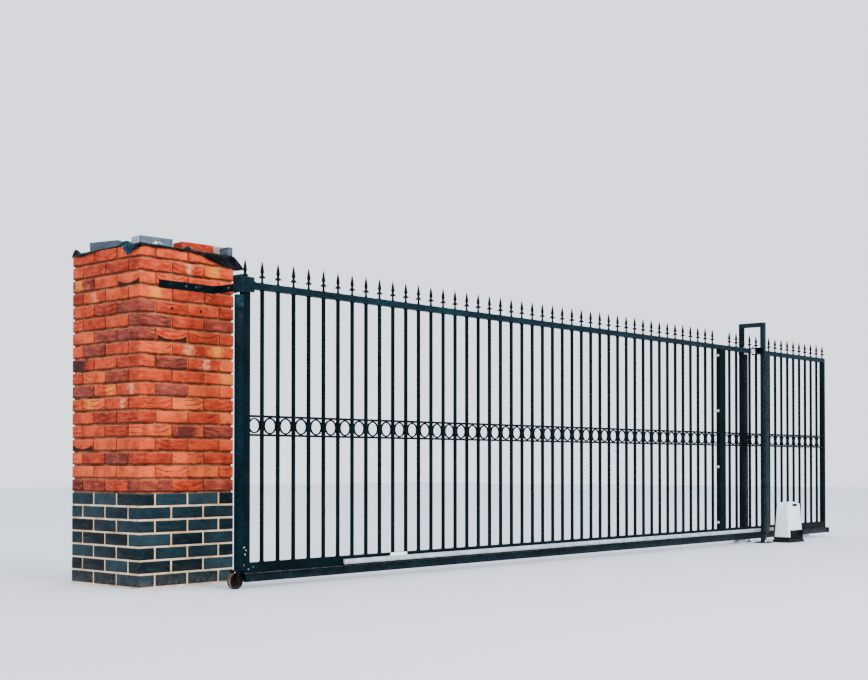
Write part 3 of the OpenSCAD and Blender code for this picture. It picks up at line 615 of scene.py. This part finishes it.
def roundedCopy(node, width):
    pickOnly(frame["nodes"][node])
    bpy.ops.object.duplicate()
    piece = bpy.context.object
    bpy.ops.object.parent_clear(type="CLEAR_KEEP_TRANSFORM")
    dropNotes(piece)
    if piece.data.has_custom_normals:
        bpy.ops.mesh.customdata_custom_splitnormals_clear()
    startEdit(piece)
    bpy.ops.mesh.remove_doubles(threshold=cadMesh["weld"])
    bpy.ops.mesh.dissolve_limited(angle_limit=math.radians(cadMesh["flat"]))
    endEdit()
    finishWith(piece, "BEVEL", width=width, segments=2, limit_method="ANGLE",
        angle_limit=math.radians(cadMesh["sharp"]), use_clamp_overlap=False)
    smoothBy(piece, cadMesh["smooth"])
    return piece

def turned(profile, sides=24):
    # a shape of revolution about Z from radii and heights, raised ring by ring from its foot
    (radius, height), *rest = profile
    clearSelection()
    bpy.ops.mesh.primitive_circle_add(vertices=sides, radius=radius, location=(0, 0, height), fill_type="NGON")
    obj = bpy.context.object
    applyAll(obj)
    startEdit(obj)
    for nextRadius, nextHeight in rest:
        bpy.ops.mesh.extrude_region_move(TRANSFORM_OT_translate={"value": (0, 0, nextHeight - height)})
        grow = nextRadius / radius
        bpy.ops.transform.resize(value=(grow, grow, 1), center_override=(0, 0, nextHeight))
        radius, height = nextRadius, nextHeight
    bpy.ops.mesh.select_all(action="SELECT")
    bpy.ops.mesh.normals_make_consistent(inside=False)
    endEdit()
    smoothBy(obj, 40)
    return obj

def finishOf(node):
    return next((name for name, nodes in otherFinish.items() if node in nodes.split()), slotFinish[slotOf[node]])

for width, nodes in roundings.items():
    for node in nodes.split():
        completePiece(roundedCopy(node, width), pieceName(node), bodyOf[node], finishOf(node), [node])
print("rounded pieces made")

def pieceOf(node):
    return bpy.data.objects[pieceName(node)]

# The painted nuts over the guide rollers make way for bright ones
bracketWork = {"nutTall": 0.022, "clear": 0.0006}
for node in ("roller_bracket_front", "roller_bracket_rear"):
    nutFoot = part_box(node)[1].z - bracketWork["nutTall"] + bracketWork["clear"]
    selectFaces(pieceOf(node), lambda face: face.calc_center_median().z > nutFoot)
    bpy.ops.mesh.delete(type="FACE")
    endEdit()

# The end wheel's flanks are painted, its tread is bare
flankFrom = 0.35
wheel = pieceOf("end_wheel").data
wheel.materials.append(finish["wheelBlack"])
for face in wheel.polygons:
    if abs(face.normal.y) > flankFrom:
        face.material_index = len(wheel.materials) - 1

# Bars with a weld bead at each end. The bead's profile is in shares of how far it stands out and how tall it is
barWork = {"counts": {"main_bars_panel": 43, "tail_bars_panel": 15}, "sides": 24, "weldSides": 14, "weldOut": 0.0048,
    "weldTall": 0.006, "bead": [(1, 0), (0.85, 0.25), (0.3, 0.65)], "inward": 0.0005, "crook": 0.0006, "seed": 4,
    "turn": 0.7}

def makeBarModel(b, radius, low, high):
    rod = turned([(radius, low), (radius, high)], b["sides"])
    bead = [(radius + out * b["weldOut"], up * b["weldTall"]) for out, up in b["bead"]]
    bead.append((radius - b["inward"], b["weldTall"]))
    foot = turned([(r, low + up) for r, up in bead], b["weldSides"])
    head = turned([(r, high - up) for r, up in reversed(bead)], b["weldSides"])
    for weld in (foot, head):
        jitter(weld, b["crook"], b["seed"])
    return joinAll([rod, foot, head])

def barPlaces(node):
    low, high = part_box(node)
    radius = (high.y - low.y) / 2
    count = barWork["counts"][node]
    step = (high.x - low.x - 2 * radius) / (count - 1)
    return [low.x + radius + i * step for i in range(count)]

def setRow(model, node, places, foot, turn, material):
    # copies of an upright model at places along X, each turned a little further
    row, y = [], middleOf(node).y
    for i, x in enumerate(places):
        row.append(copyAt(model, Matrix.Translation((x, y, foot)) @ Matrix.Rotation(turn * i, 4, "Z")))
    drop(model)
    completePiece(joinAll(row), pieceName(node), "leaf", material, [node])

for node in barWork["counts"]:
    low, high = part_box(node)
    setRow(makeBarModel(barWork, (high.y - low.y) / 2, low.z, high.z), node, barPlaces(node), 0, barWork["turn"],
        "gatePaint")

# Cast spear finials. The profile is in millimetres of radius and shares of the height
finialWork = {"sides": 20, "turn": 0.9, "profile": [(10, 0), (10, 0.034), (9.2, 0.047), (7, 0.065), (6.6, 0.155),
    (6.7, 0.244), (18.8, 0.244), (19.7, 0.253), (19.9, 0.264), (19, 0.285), (15.4, 0.312), (12, 0.34), (8.8, 0.37),
    (7.2, 0.4), (7.6, 0.422), (9.3, 0.46), (11.2, 0.492), (11.9, 0.52), (11.6, 0.55), (10.5, 0.584), (8.4, 0.703),
    (5.8, 0.828), (3.2, 0.93), (2.2, 0.972), (1.2, 0.992), (0.25, 0.999)]}

def setFinials(f, node, places):
    low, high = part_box(node)
    model = turned([(r / 1000, share * (high.z - low.z)) for r, share in f["profile"]], f["sides"])
    setRow(model, node, places, low.z, f["turn"], "castPaint")

setFinials(finialWork, "main_finials", [middleOf("leading_upright").x] + barPlaces("main_bars_panel"))
setFinials(finialWork, "tail_finials", barPlaces("tail_bars_panel") + [middleOf("tail_upright").x])
print("bars and finials set")

# Bolts. The model is an M12 hexagon head on its washer, up from the origin. Ends are eased from a share of their height
boltWork = {"model": 12, "across": 0.0104, "head": 0.0075, "headEased": 0.82, "headTop": 0.86, "washer": 0.0122,
    "washerTall": 0.0022, "washerEased": 0.8, "washerEase": 0.0006, "stud": 0.006, "studOver": 0.009, "studTop": 0.8,
    "studEase": 0.0015, "turn": 0.4}

def makeBolt(b, nut):
    base, top = b["washerTall"], b["washerTall"] + b["head"]
    parts = [turned([(b["washer"], 0), (b["washer"], base * b["washerEased"]), (b["washer"] - b["washerEase"], base)]),
        turned([(b["across"], base), (b["across"], base + b["head"] * b["headEased"]),
            (b["across"] * b["headTop"], top)], 6)]
    if nut:
        end = top + b["studOver"]
        parts.append(turned([(b["stud"], base), (b["stud"], end), (b["stud"] * b["studTop"], end + b["studEase"])], 14))
    return joinAll(parts)

def setBolts(title, model, places, size, body, material="galvanised"):
    # places are points on a surface, each with the direction that its bolt points in
    row = []
    for i, (point, direction) in enumerate(places):
        place = towards(point, direction, boltWork["turn"] * i)
        row.append(copyAt(model, place @ Matrix.Scale(size / boltWork["model"], 4)))
    completePiece(joinAll(row), title, body, material)

guidePosts = ("guide_post_front", "guide_post_rear")
footPlate = 0.010

def footOf(node):
    # the middle of a guide post, on top of its foot plate
    return Vector((*middleOf(node).xy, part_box(node)[0].z + footPlate))

# Places along X on the strap, the bolt through its arm, heights on the joint, and distances
fasteners = {"strapThick": 0.008, "strapBolts": (-6.161, -5.956), "boltsUp": 0.003, "strapPlugs": (-6.050, -5.978),
    "armBolt": (-5.830886, 0.359), "armOut": (-0.997, -0.078, 0), "joint": (1.651, 1.170, 0.683, 0.200),
    "footHole": 0.042, "rackStep": 0.333, "hubReach": 0.0235}

def setFasteners(f):
    bolt, nut = makeBolt(boltWork, False), makeBolt(boltWork, True)
    front, up = (0, -1, 0), (0, 0, 1)
    strapZ, strapFace = middleOf("catcher_strap").z, pierLow.y - f["strapThick"]
    setBolts("strapBolts", bolt, [((x, strapFace, strapZ + f["boltsUp"]), front) for x in f["strapBolts"]], 10,
        "fixed_parts", "postPaint")
    setBolts("strapPlugs", bolt, [((x, strapFace, strapZ), front) for x in f["strapPlugs"]], 6, "fixed_parts",
        "weldGrey")
    setBolts("armBolt", bolt, [((*f["armBolt"], strapZ), f["armOut"])], 8, "fixed_parts", "weldGrey")
    y, (low, high) = middleOf("joint_uprights").y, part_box("joint_uprights")
    setBolts("jointBolts", bolt, [((low.x, y, z), (-1, 0, 0)) for z in f["joint"]], 12, "leaf")
    setBolts("jointNuts", nut, [((high.x, y, z), (1, 0, 0)) for z in f["joint"]], 12, "leaf")
    corners = [Vector((a, b, 0)) * f["footHole"] for a in (-1, 1) for b in (-1, 1)]
    anchors = [(foot + corner, up) for foot in map(footOf, guidePosts) for corner in corners]
    setBolts("anchorNuts", nut, anchors, 12, "fixed_parts")
    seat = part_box("roller_bracket_front")[1].z - bracketWork["nutTall"]
    rollers = [middleOf(node) for node in ("guide_roller_front", "guide_roller_rear")]
    setBolts("rollerNuts", nut, [((roller.x, roller.y, seat), up) for roller in rollers], 13.2, "fixed_parts")
    low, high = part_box("rack_bosses")
    radius = (high.z - low.z) / 2
    span = high.x - low.x - 2 * radius
    count = round(span / f["rackStep"])
    rackFace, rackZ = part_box("gear_rack")[0].y, middleOf("rack_bosses").z
    setBolts("rackBolts", bolt,
        [((low.x + radius + i * span / count, rackFace, rackZ), front) for i in range(count + 1)], 8, "leaf")
    hub = middleOf("end_wheel")
    for title, model, out in (("axleNut", nut, -1), ("axleHead", bolt, 1)):
        setBolts(title, model, [((hub.x, hub.y + out * f["hubReach"], hub.z), (0, out, 0))], 10, "leaf", "wheelBlack")
    drop(bolt)
    drop(nut)

setFasteners(fasteners)
print("bolts set")

# Welds. The model is a run of ripples 50 mm long, up from the origin
weldWork = {"radius": 0.003, "tip": 0.0008, "ripple": 0.0042, "ripples": 12, "sides": 8, "crook": 0.0005, "seed": 8,
    "first": 0.15, "waist": 0.8, "swell": 0.45, "turn": 1.3, "stitches": (0.12, 0.1, 0.363), "halfPost": 0.02,
    "inset": 0.003}
weldLength = weldWork["ripples"] * weldWork["ripple"]

def makeWeldRun(w):
    profile = [(w["tip"], 0)]
    for i in range(w["ripples"]):
        foot = (i + w["first"]) * w["ripple"]
        profile += [(w["radius"] * w["waist"], foot), (w["radius"], foot + w["ripple"] * w["swell"])]
    run = turned(profile + [(w["tip"], weldLength)], w["sides"])
    jitter(run, w["crook"], w["seed"])
    return run

def setWelds(model, title, seams, body):
    # seams are (start, end) with runs laid from one to the other
    runs = []
    for start, end in seams:
        start, end = Vector(start), Vector(end)
        reach = (end - start).length
        count = max(1, round(reach / weldLength))
        for i in range(count):
            place = towards(start.lerp(end, i / count), end - start, i * weldWork["turn"])
            runs.append(copyAt(model, place @ Matrix.Diagonal((1, 1, reach / count / weldLength, 1))))
    completePiece(joinAll(runs), title, body, "gatePaint")

def weldFrame(w):
    run = makeWeldRun(w)
    railLow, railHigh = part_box("bottom_rail")
    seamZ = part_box("track_beam")[1].z
    first, last, step = w["stitches"]
    stitches = []
    for y in (railLow.y, railHigh.y):
        x = railLow.x + first
        while x < railHigh.x - last:
            stitches.append(((x, y, seamZ), (x + weldLength, y, seamZ)))
            x += step
    setWelds(run, "trackWelds", stitches, "leaf")
    seams = []
    for node in guidePosts:
        foot = footOf(node)
        corners = [foot + Vector((a, b, 0)) * w["halfPost"] for a, b in ((-1, -1), (1, -1), (1, 1), (-1, 1))]
        seams += list(zip(corners, corners[1:] + corners[:1]))
    setWelds(run, "footWelds", seams, "fixed_parts")
    seams = []
    for node, side in (("leading_upright", 1), ("tail_upright", 0)):
        low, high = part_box(node)
        x = (low, high)[side].x
        seams += [((x, low.y + w["inset"], z), (x, high.y - w["inset"], z)) for z in (low.z, high.z)]
    setWelds(run, "cornerWelds", seams, "leaf")
    drop(run)

weldFrame(weldWork)
print("welds run")

# The drive's cover: a groove above its lower band, the seam of its front shell, ribs on the band, and the lock's slot
coverWork = {"bandTop": 0.146, "groove": 0.0022, "depth": 0.0016, "clear": 0.004, "seamBehind": 0.037, "seam": 0.7,
    "ribs": (0.24, 0.4, 0.56, 0.72), "ribWide": 0.8, "ribDeep": 0.6, "slot": (0.086, 0.021, 0.005), "slotRim": 0.0022,
    "slotDeep": 0.0032, "slotEase": 0.0007, "slotFrom": (0.012, 0.0205, 0.0265), "slotFacing": (0, -0.998, 0.069)}

grooveReach = 0.45

def cutGroove(obj, point, normal, width, depth, test):
    # two cuts a groove's width apart, and the faces between them pushed in
    point, normal = Vector(point), Vector(normal)
    for side in (-1, 1):
        startEdit(obj)
        bpy.ops.mesh.bisect(plane_co=point + normal * side * width / 2, plane_no=normal)
    reach = width * grooveReach
    selectFaces(obj, lambda face: abs((face.calc_center_median() - point).dot(normal)) < reach and test(face))
    bpy.ops.mesh.extrude_region_shrink_fatten(TRANSFORM_OT_shrink_fatten={"value": -depth})
    endEdit()

def shapeCover(c):
    cover = pieceOf("drive_cover")
    low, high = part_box("drive_cover")
    above, below = c["bandTop"] + c["clear"], c["bandTop"] - c["clear"]
    cutGroove(cover, (0, 0, c["bandTop"]), (0, 0, 1), c["groove"], c["depth"], lambda face: True)
    cutGroove(cover, (0, low.y + c["seamBehind"], 0), (0, 1, 0), c["groove"] * c["seam"], c["depth"],
        lambda face: face.calc_center_median().z > above and face.normal.z > -0.5)
    for share in c["ribs"]:
        cutGroove(cover, (0, low.y + (high.y - low.y) * share, 0), (0, 1, 0), c["groove"] * c["ribWide"],
            c["depth"] * c["ribDeep"],
            lambda face: face.calc_center_median().z < below and abs(face.normal.x) > 0.7)
    smoothBy(cover, 30)
    long, wide, thick = c["slot"]
    slot = blockAt((-long / 2, -wide / 2, 0), (long / 2, wide / 2, thick))
    selectFaces(slot, lambda face: face.normal.z > 0.9)
    bpy.ops.mesh.inset(thickness=c["slotRim"])
    bpy.ops.mesh.extrude_region_move(TRANSFORM_OT_translate={"value": (0, 0, -c["slotDeep"])})
    endEdit()
    finishWith(slot, "BEVEL", width=c["slotEase"], segments=2, limit_method="ANGLE")
    right, behind, under = c["slotFrom"]
    slot.data.transform(towards((middleOf("drive_cover").x + right, low.y + behind, high.z - under), c["slotFacing"]))
    completePiece(slot, "lockSlot", "fixed_parts", "blackPlastic")

shapeCover(coverWork)

# A frame round the blank panel
panelWork = {"frame": 0.005, "sunk": 0.0012, "area": 0.004}
selectFaces(pieceOf("drive_panel"), lambda face: face.normal.y < -0.95 and face.calc_area() > panelWork["area"])
bpy.ops.mesh.inset(thickness=panelWork["frame"])
bpy.ops.mesh.extrude_region_shrink_fatten(TRANSFORM_OT_shrink_fatten={"value": -panelWork["sunk"]})
endEdit()
print("drive shaped")

# The cap on the leading safety edge
edgeCapWork = {"tall": 0.0765, "gap": 0.001}

def splitEdgeCap(e):
    strip = pieceOf("leading_edge")
    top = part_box("leading_edge")[1].z
    pickOnly(strip)
    bpy.ops.object.duplicate()
    cap = bpy.context.object
    for obj, z, outer in ((strip, top - e["tall"] - e["gap"], True), (cap, top - e["tall"], False)):
        startEdit(obj)
        bpy.ops.mesh.bisect(plane_co=(0, 0, z), plane_no=(0, 0, 1), use_fill=True, clear_outer=outer,
            clear_inner=not outer)
        endEdit()
    dropNotes(cap)
    completePiece(cap, "edgeCap", "leaf", "edgeCap")

splitEdgeCap(edgeCapWork)

# Old fixing holes in the pier, as near-black discs that paint the shade inside each hole, and chips in the paint of the
# leading corner, at (x, z) on the front
fixingHoles = {"profile": [(8.5, 0), (7.65, 0.6), (4.25, 0.2)], "sides": 14, "off": 0.0001,
    "places": [(-6.143, 1.603), (-5.935, 1.599), (-6.166, 0.107), (-5.959, 0.101)]}
holes = []
for x, z in fixingHoles["places"]:
    hole = turned([(r / 1000, out / 1000) for r, out in fixingHoles["profile"]], fixingHoles["sides"])
    hole.data.transform(towards((x, pierLow.y + fixingHoles["off"], z), (0, -1, 0)))
    holes.append(hole)
completePiece(joinAll(holes), "fixingHoles", "fixed_parts", "castPaint")

# Chips with their radius in millimetres, flattened and drawn out
paintChips = {"thick": 0.0004, "sides": 11, "seed": 21, "flat": 0.05, "narrow": 0.6, "off": 0.0001,
    "places": [(-5.937, 0.233, 7), (-5.923, 0.216, 5), (-5.930, 0.193, 6), (-5.936, 0.133, 8), (-5.905, 0.109, 5),
        (-5.87, 0.12, 3.5)]}
chips, railFace = [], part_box("bottom_rail")[0].y
random.seed(paintChips["seed"])
for x, z, size in paintChips["places"]:
    chip = turned([(size / 1000, 0), (size / 1250, paintChips["thick"])], paintChips["sides"])
    startEdit(chip)
    bpy.ops.transform.vertex_random(offset=size / 4500, seed=int(size * 3))
    bpy.ops.transform.resize(value=(1, 1, paintChips["flat"]))
    endEdit()
    place = towards((x, railFace - paintChips["off"], z), (0, -1, 0), random.uniform(0, 3))
    chip.data.transform(place @ Matrix.Diagonal((1, paintChips["narrow"], 1, 1)))
    chips.append(chip)
completePiece(joinAll(chips), "paintChips", "leaf", "bareSteel")
print("small marks made")

# Loose bricks on the pier, by CAD node: their finish, and each one's near left corner from that of the pier, its turn
# in degrees and its size
wholeBrick = (0.215, 0.102, 0.065)
looseWork = {"loose_blue_bricks": ("looseBlue", [((0.187, 0.372), 104, wholeBrick), ((0.080, 0.108), -5, wholeBrick)]),
    "loose_red_brick": ("redBrick", [((0.372, 0.106), -5, wholeBrick)]),
    "loose_pale_brick": ("paleBrick", [((0.597, 0.096), 0, (0.078, 0.102, 0.065))]),
    "loose_grey_brick": ("looseBlue", [((0.643, 0.016), 0, (0.038, 0.074, 0.055))])}
looseShape = {"ease": 0.004, "crook": 0.0007, "seed": 7, "cuts": 6, "hues": (0.35, 0.4), "chances": (0.37, 0.31)}

def onPier(corner, turn, node):
    place = (pierLow.x + corner[0], pierLow.y + corner[1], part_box(node)[0].z)
    return Matrix.Translation(place) @ Matrix.Rotation(math.radians(turn), 4, "Z")

def layLooseBricks(l):
    (hue, hueStep), (chance, chanceStep) = l["hues"], l["chances"]
    for node, (material, bricks) in looseWork.items():
        laid = []
        for i, (corner, turn, size) in enumerate(bricks):
            brick = makeBrick(size, l["ease"], l["crook"], l["seed"] + i, l["cuts"])
            brick.data.transform(onPier(corner, turn, node))
            toneBrick(brick, hue + hueStep * i, "plain", chance + chanceStep * i)
            laid.append(brick)
        pile = joinAll(laid)
        keepWithin(pile, *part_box(node))
        completePiece(pile, pieceName(node), "fixed_parts", material, [node])

layLooseBricks(looseShape)

# Mortar left on the second blue brick. Dabs are (along, up) with their half width and height in millimetres, ribs
# stand on its end
mortarDabs = {"dabs": [(0.101, 0.030, 11, 9), (0.089, 0.026, 5, 4), (0.124, 0.034, 6, 4), (0.136, 0.029, 4, 3),
    (0.08, 0.022, 3, 3)], "out": 0.0022, "crook": 0.18, "off": 0.0002, "ribs": [0.018, 0.034, 0.05, 0.066, 0.082],
    "ribUp": 0.004, "ribFlat": 0.6, "ribProfile": [(0.0022, 0), (0.003, 0.006), (0.0026, 0.05), (0.0018, 0.057)]}

def leaveMortar(m):
    corner, turn, _ = looseWork["loose_blue_bricks"][1][1]
    onBrick = onPier(corner, turn, "loose_blue_bricks")
    dabs = []
    for along, up, wide, tall in m["dabs"]:
        bpy.ops.mesh.primitive_uv_sphere_add(segments=12, ring_count=8, radius=1)
        dab = bpy.context.object
        jitter(dab, m["crook"], int(wide))
        smoothBy(dab, 60)
        size = Matrix.Diagonal((wide / 1000, m["out"], tall / 1000, 1))
        dab.data.transform(onBrick @ Matrix.Translation((along, -m["off"], up)) @ size)
        dabs.append(dab)
    for along in m["ribs"]:
        rib = turned(m["ribProfile"], 8)
        place = Matrix.Translation((-m["off"], along, m["ribUp"]))
        rib.data.transform(onBrick @ place @ Matrix.Diagonal((m["ribFlat"], 1, 1, 1)))
        dabs.append(rib)
    completePiece(joinAll(dabs), "mortarDabs", "fixed_parts", "freshMortar")

leaveMortar(mortarDabs)
print("loose bricks laid")

# Polythene over the pier. Hems are (distance from the pier's corner, how far it hangs) in metres
sheetWork = {"cells": 120, "margin": 0.12, "gap": 0.0016, "thick": 0.0008, "off": 0.006, "rounding": 0.012,
    "left": [(0, 0.03), (0.04, 0.04), (0.108, 0.064), (0.131, 0.046), (0.156, 0.016), (0.2, 0.004), (0.4, 0.004),
        (0.46, 0.014), (0.52, 0.022), (0.6, 0.026), (0.65, 0.016), (0.675, 0.008)],
    "front": [(0, 0.022), (0.047, 0.016), (0.12, 0.02), (0.2, 0.014), (0.28, 0.02), (0.349, 0.015), (0.367, 0.02),
        (0.429, 0.026), (0.496, 0.05), (0.616, 0.074), (0.675, 0.07)],
    "right": [(0, 0.11), (0.2, 0.104), (0.45, 0.108), (0.675, 0.1)],
    "back": [(0, 0.02), (0.15, 0.036), (0.3, 0.018), (0.5, 0.04), (0.675, 0.03)], "rightSlope": 42,
    "sheen": ((0.0, 0.115), 0.075), "creased": 1.04,
    # folds that stand up: place from the near left corner, height, spread
    "folds": [((0.012, 0.15), 0.026, (0.03, 0.05)), ((0.34, 0.012), 0.022, (0.02, 0.03)),
        ((0.01, 0.655), 0.03, (0.03, 0.02)), ((0.3, 0.28), 0.012, (0.02, 0.16)),
        ((0.47, 0.4), 0.014, (0.14, 0.02)), ((0.5, 0.58), 0.012, (0.03, 0.08))],
    "crumple": (9.0, 0.0045), "ripple": (16.0, 0.006), "inwards": 0.003, "pressed": (0.004, 0.03),
    # noise is read at these heights, and on the hems stretched
    "creaseSlice": 0.3, "rippleSlice": 4.0, "stretch": 0.6, "raised": 0.001, "rippleFrom": 0.02, "glow": (2.2, 2)}

def hemAt(points, along):
    for (a, high), (b, low) in zip(points, points[1:]):
        if along <= b:
            return high + (low - high) * max(0.0, along - a) / (b - a)
    return points[-1][1]

octaves = {"count": 3, "fade": 0.5, "finer": 2.1}

def crumpleAt(place, scale):
    # sharp creases between flat facets
    total, whole, part = 0.0, 0.0, 1.0
    for octave in range(octaves["count"]):
        total += part * (1 - 2 * abs(noise.noise(place * scale)))
        whole += part
        part, scale = part * octaves["fade"], scale * octaves["finer"]
    return total / whole

def underBrick(x, y):
    # 1 on open sheet, 0 where a loose brick presses it flat
    free = 1.0
    edge, fade = sheetWork["pressed"]
    for material, bricks in looseWork.values():
        for corner, turn, size in bricks:
            spot = Matrix.Rotation(-math.radians(turn), 2) @ Vector((x - corner[0], y - corner[1]))
            away = max(-spot.x, spot.x - size[0], -spot.y, spot.y - size[1])
            free = min(free, max(0.0, min(1.0, (away - edge) / fade)))
    return free

def drapeSheet(t):
    width, margin = pierHigh.x - pierLow.x, t["margin"]
    (creaseScale, creaseTall), (rippleScale, rippleTall) = t["crumple"], t["ripple"]
    outwards = {"left": (-1, 0, 0), "right": (1, 0, 0), "front": (0, -1, 0), "back": (0, 1, 0)}
    bpy.ops.mesh.primitive_grid_add(x_subdivisions=t["cells"], y_subdivisions=t["cells"], size=width + 2 * margin)
    sheet = bpy.context.object
    slope = math.radians(t["rightSlope"])
    for corner in sheet.data.vertices:
        x, y = corner.co.x + width / 2, corner.co.y + width / 2
        alongX, alongY = min(max(x, 0), width), min(max(y, 0), width)
        past = {"left": -x, "right": x - width, "front": -y, "back": y - width}
        side = max(past, key=past.get)
        lift = 0.0
        for (cx, cy), height, (sx, sy) in t["folds"]:
            lift += height * math.exp(-((x - cx) / sx) ** 2 - ((y - cy) / sy) ** 2)
        rough = crumpleAt(Vector((x, y, t["creaseSlice"])), creaseScale) * creaseTall
        free = underBrick(alongX, alongY)
        spot = Vector((alongX, alongY, t["gap"] + (lift + max(0.0, rough + t["raised"])) * free))
        if past[side] > 0:
            hang = hemAt(t[side], alongY if side in ("left", "right") else alongX) * past[side] / margin
            spread = Vector((x * t["stretch"], y * t["stretch"], t["rippleSlice"]))
            wave = crumpleAt(spread, rippleScale) * rippleTall * min(1.0, hang / t["rippleFrom"])
            lean = math.sin(slope) if side == "right" else 0.0
            reach = hang * math.cos(slope) if side == "right" else t["off"] * min(1.0, hang / t["rounding"])
            spot += Vector(outwards[side]) * (reach + max(-t["inwards"], wave) * (1 - lean))
            spot.z -= hang * (lean if side == "right" else 1.0)
            spot.z += wave * lean
        corner.co = Vector((pierLow.x, pierLow.y, pierHigh.z)) + spot
    # the painted sky reflection on the big fold: tone's red is brightest near its middle and fades outwards
    glow = sheet.data.attributes.new("tone", "FLOAT_COLOR", "POINT")
    (glowX, glowY), reach = t["sheen"]
    brightest, fall = t["glow"]
    for corner, shade in zip(sheet.data.vertices, glow.data):
        away = math.hypot(corner.co.x - pierLow.x - glowX, corner.co.y - pierLow.y - glowY)
        shade.color = (max(0.0, min(1.0, brightest - fall * away / reach)), 0, 0, 1)
    smoothBy(sheet, 34)
    area = sum(face.area for face in sheet.data.polygons)
    finishWith(sheet, "SOLIDIFY", thickness=t["thick"], offset=1)
    completePiece(sheet, "coverSheet", "fixed_parts", "polythene", ["cover_sheet"])
    side = math.sqrt(area) * t["creased"]

drapeSheet(sheetWork)
print("sheet draped")

# What isn't replaced keeps the CAD node's mesh and gets its finish
for node, obj in frame["nodes"].items():
    for place in obj.material_slots:
        place.material = finish[finishOf(node)]

floorLook = {"size": 60, "place": (-2, 0, 0), "colour": (0.57, 0.59, 0.62), "rough": 0.9}
bpy.ops.mesh.primitive_plane_add(size=floorLook["size"], location=floorLook["place"])
floor = bpy.context.object
paving, shader, _ = startMaterial("studioFloor", 0.5)
feed(shader.inputs["Base Color"], floorLook["colour"])
feed(shader.inputs["Roughness"], floorLook["rough"])
floor.name = paving.name
floor.data.materials.append(paving)

studio = {"sky": (0.85, 0.91, 1.0, 1), "daylight": 2.75, "backdrop": 2.0, "mirrorLow": 0.12, "mirrorHigh": 2.4,
    "key": (-5.5, -11.0, 7.5), "keyPower": 1900, "keySize": 5.0, "aim": (-4, 0, 1), "mirrorTop": 0.9}

def lightWorld(t):
    # a soft even sky, brighter where the camera sees it, and dark low down where gloss mirrors it
    world = bpy.context.scene.world or bpy.data.worlds.new("studio")
    bpy.context.scene.world = world
    world.use_nodes = True
    tree = world.node_tree
    sky = tree.nodes["Background"].inputs
    rays = addNode(tree, "LightPath").outputs
    height = splitVector(addNode(tree, "TexCoord").outputs["Generated"])["Z"]
    mirrored = addNode(tree, "MapRange", {"Value": height, "From Min": 0.0, "From Max": t["mirrorTop"],
        "To Min": t["mirrorLow"], "To Max": t["mirrorHigh"]})
    strength = addNode(tree, "Mix",
        {"Factor": rays["Is Glossy Ray"], "A": t["daylight"], "B": mirrored.outputs["Result"]})
    shown = addNode(tree, "Mix", {"Factor": rays["Is Camera Ray"], "A": strength.outputs["Result"], "B": t["backdrop"]})
    feed(sky["Color"], t["sky"])
    feed(sky["Strength"], shown.outputs["Result"])

lightWorld(studio)
bpy.ops.object.light_add(type="AREA", location=studio["key"])
lamp = bpy.context.object
lamp.data.energy = studio["keyPower"]
lamp.data.size = studio["keySize"]
lamp.visible_glossy = False
lamp.rotation_euler = (Vector(studio["aim"]) - Vector(studio["key"])).to_track_quat("-Z", "Y").to_euler()
print("stage lit")
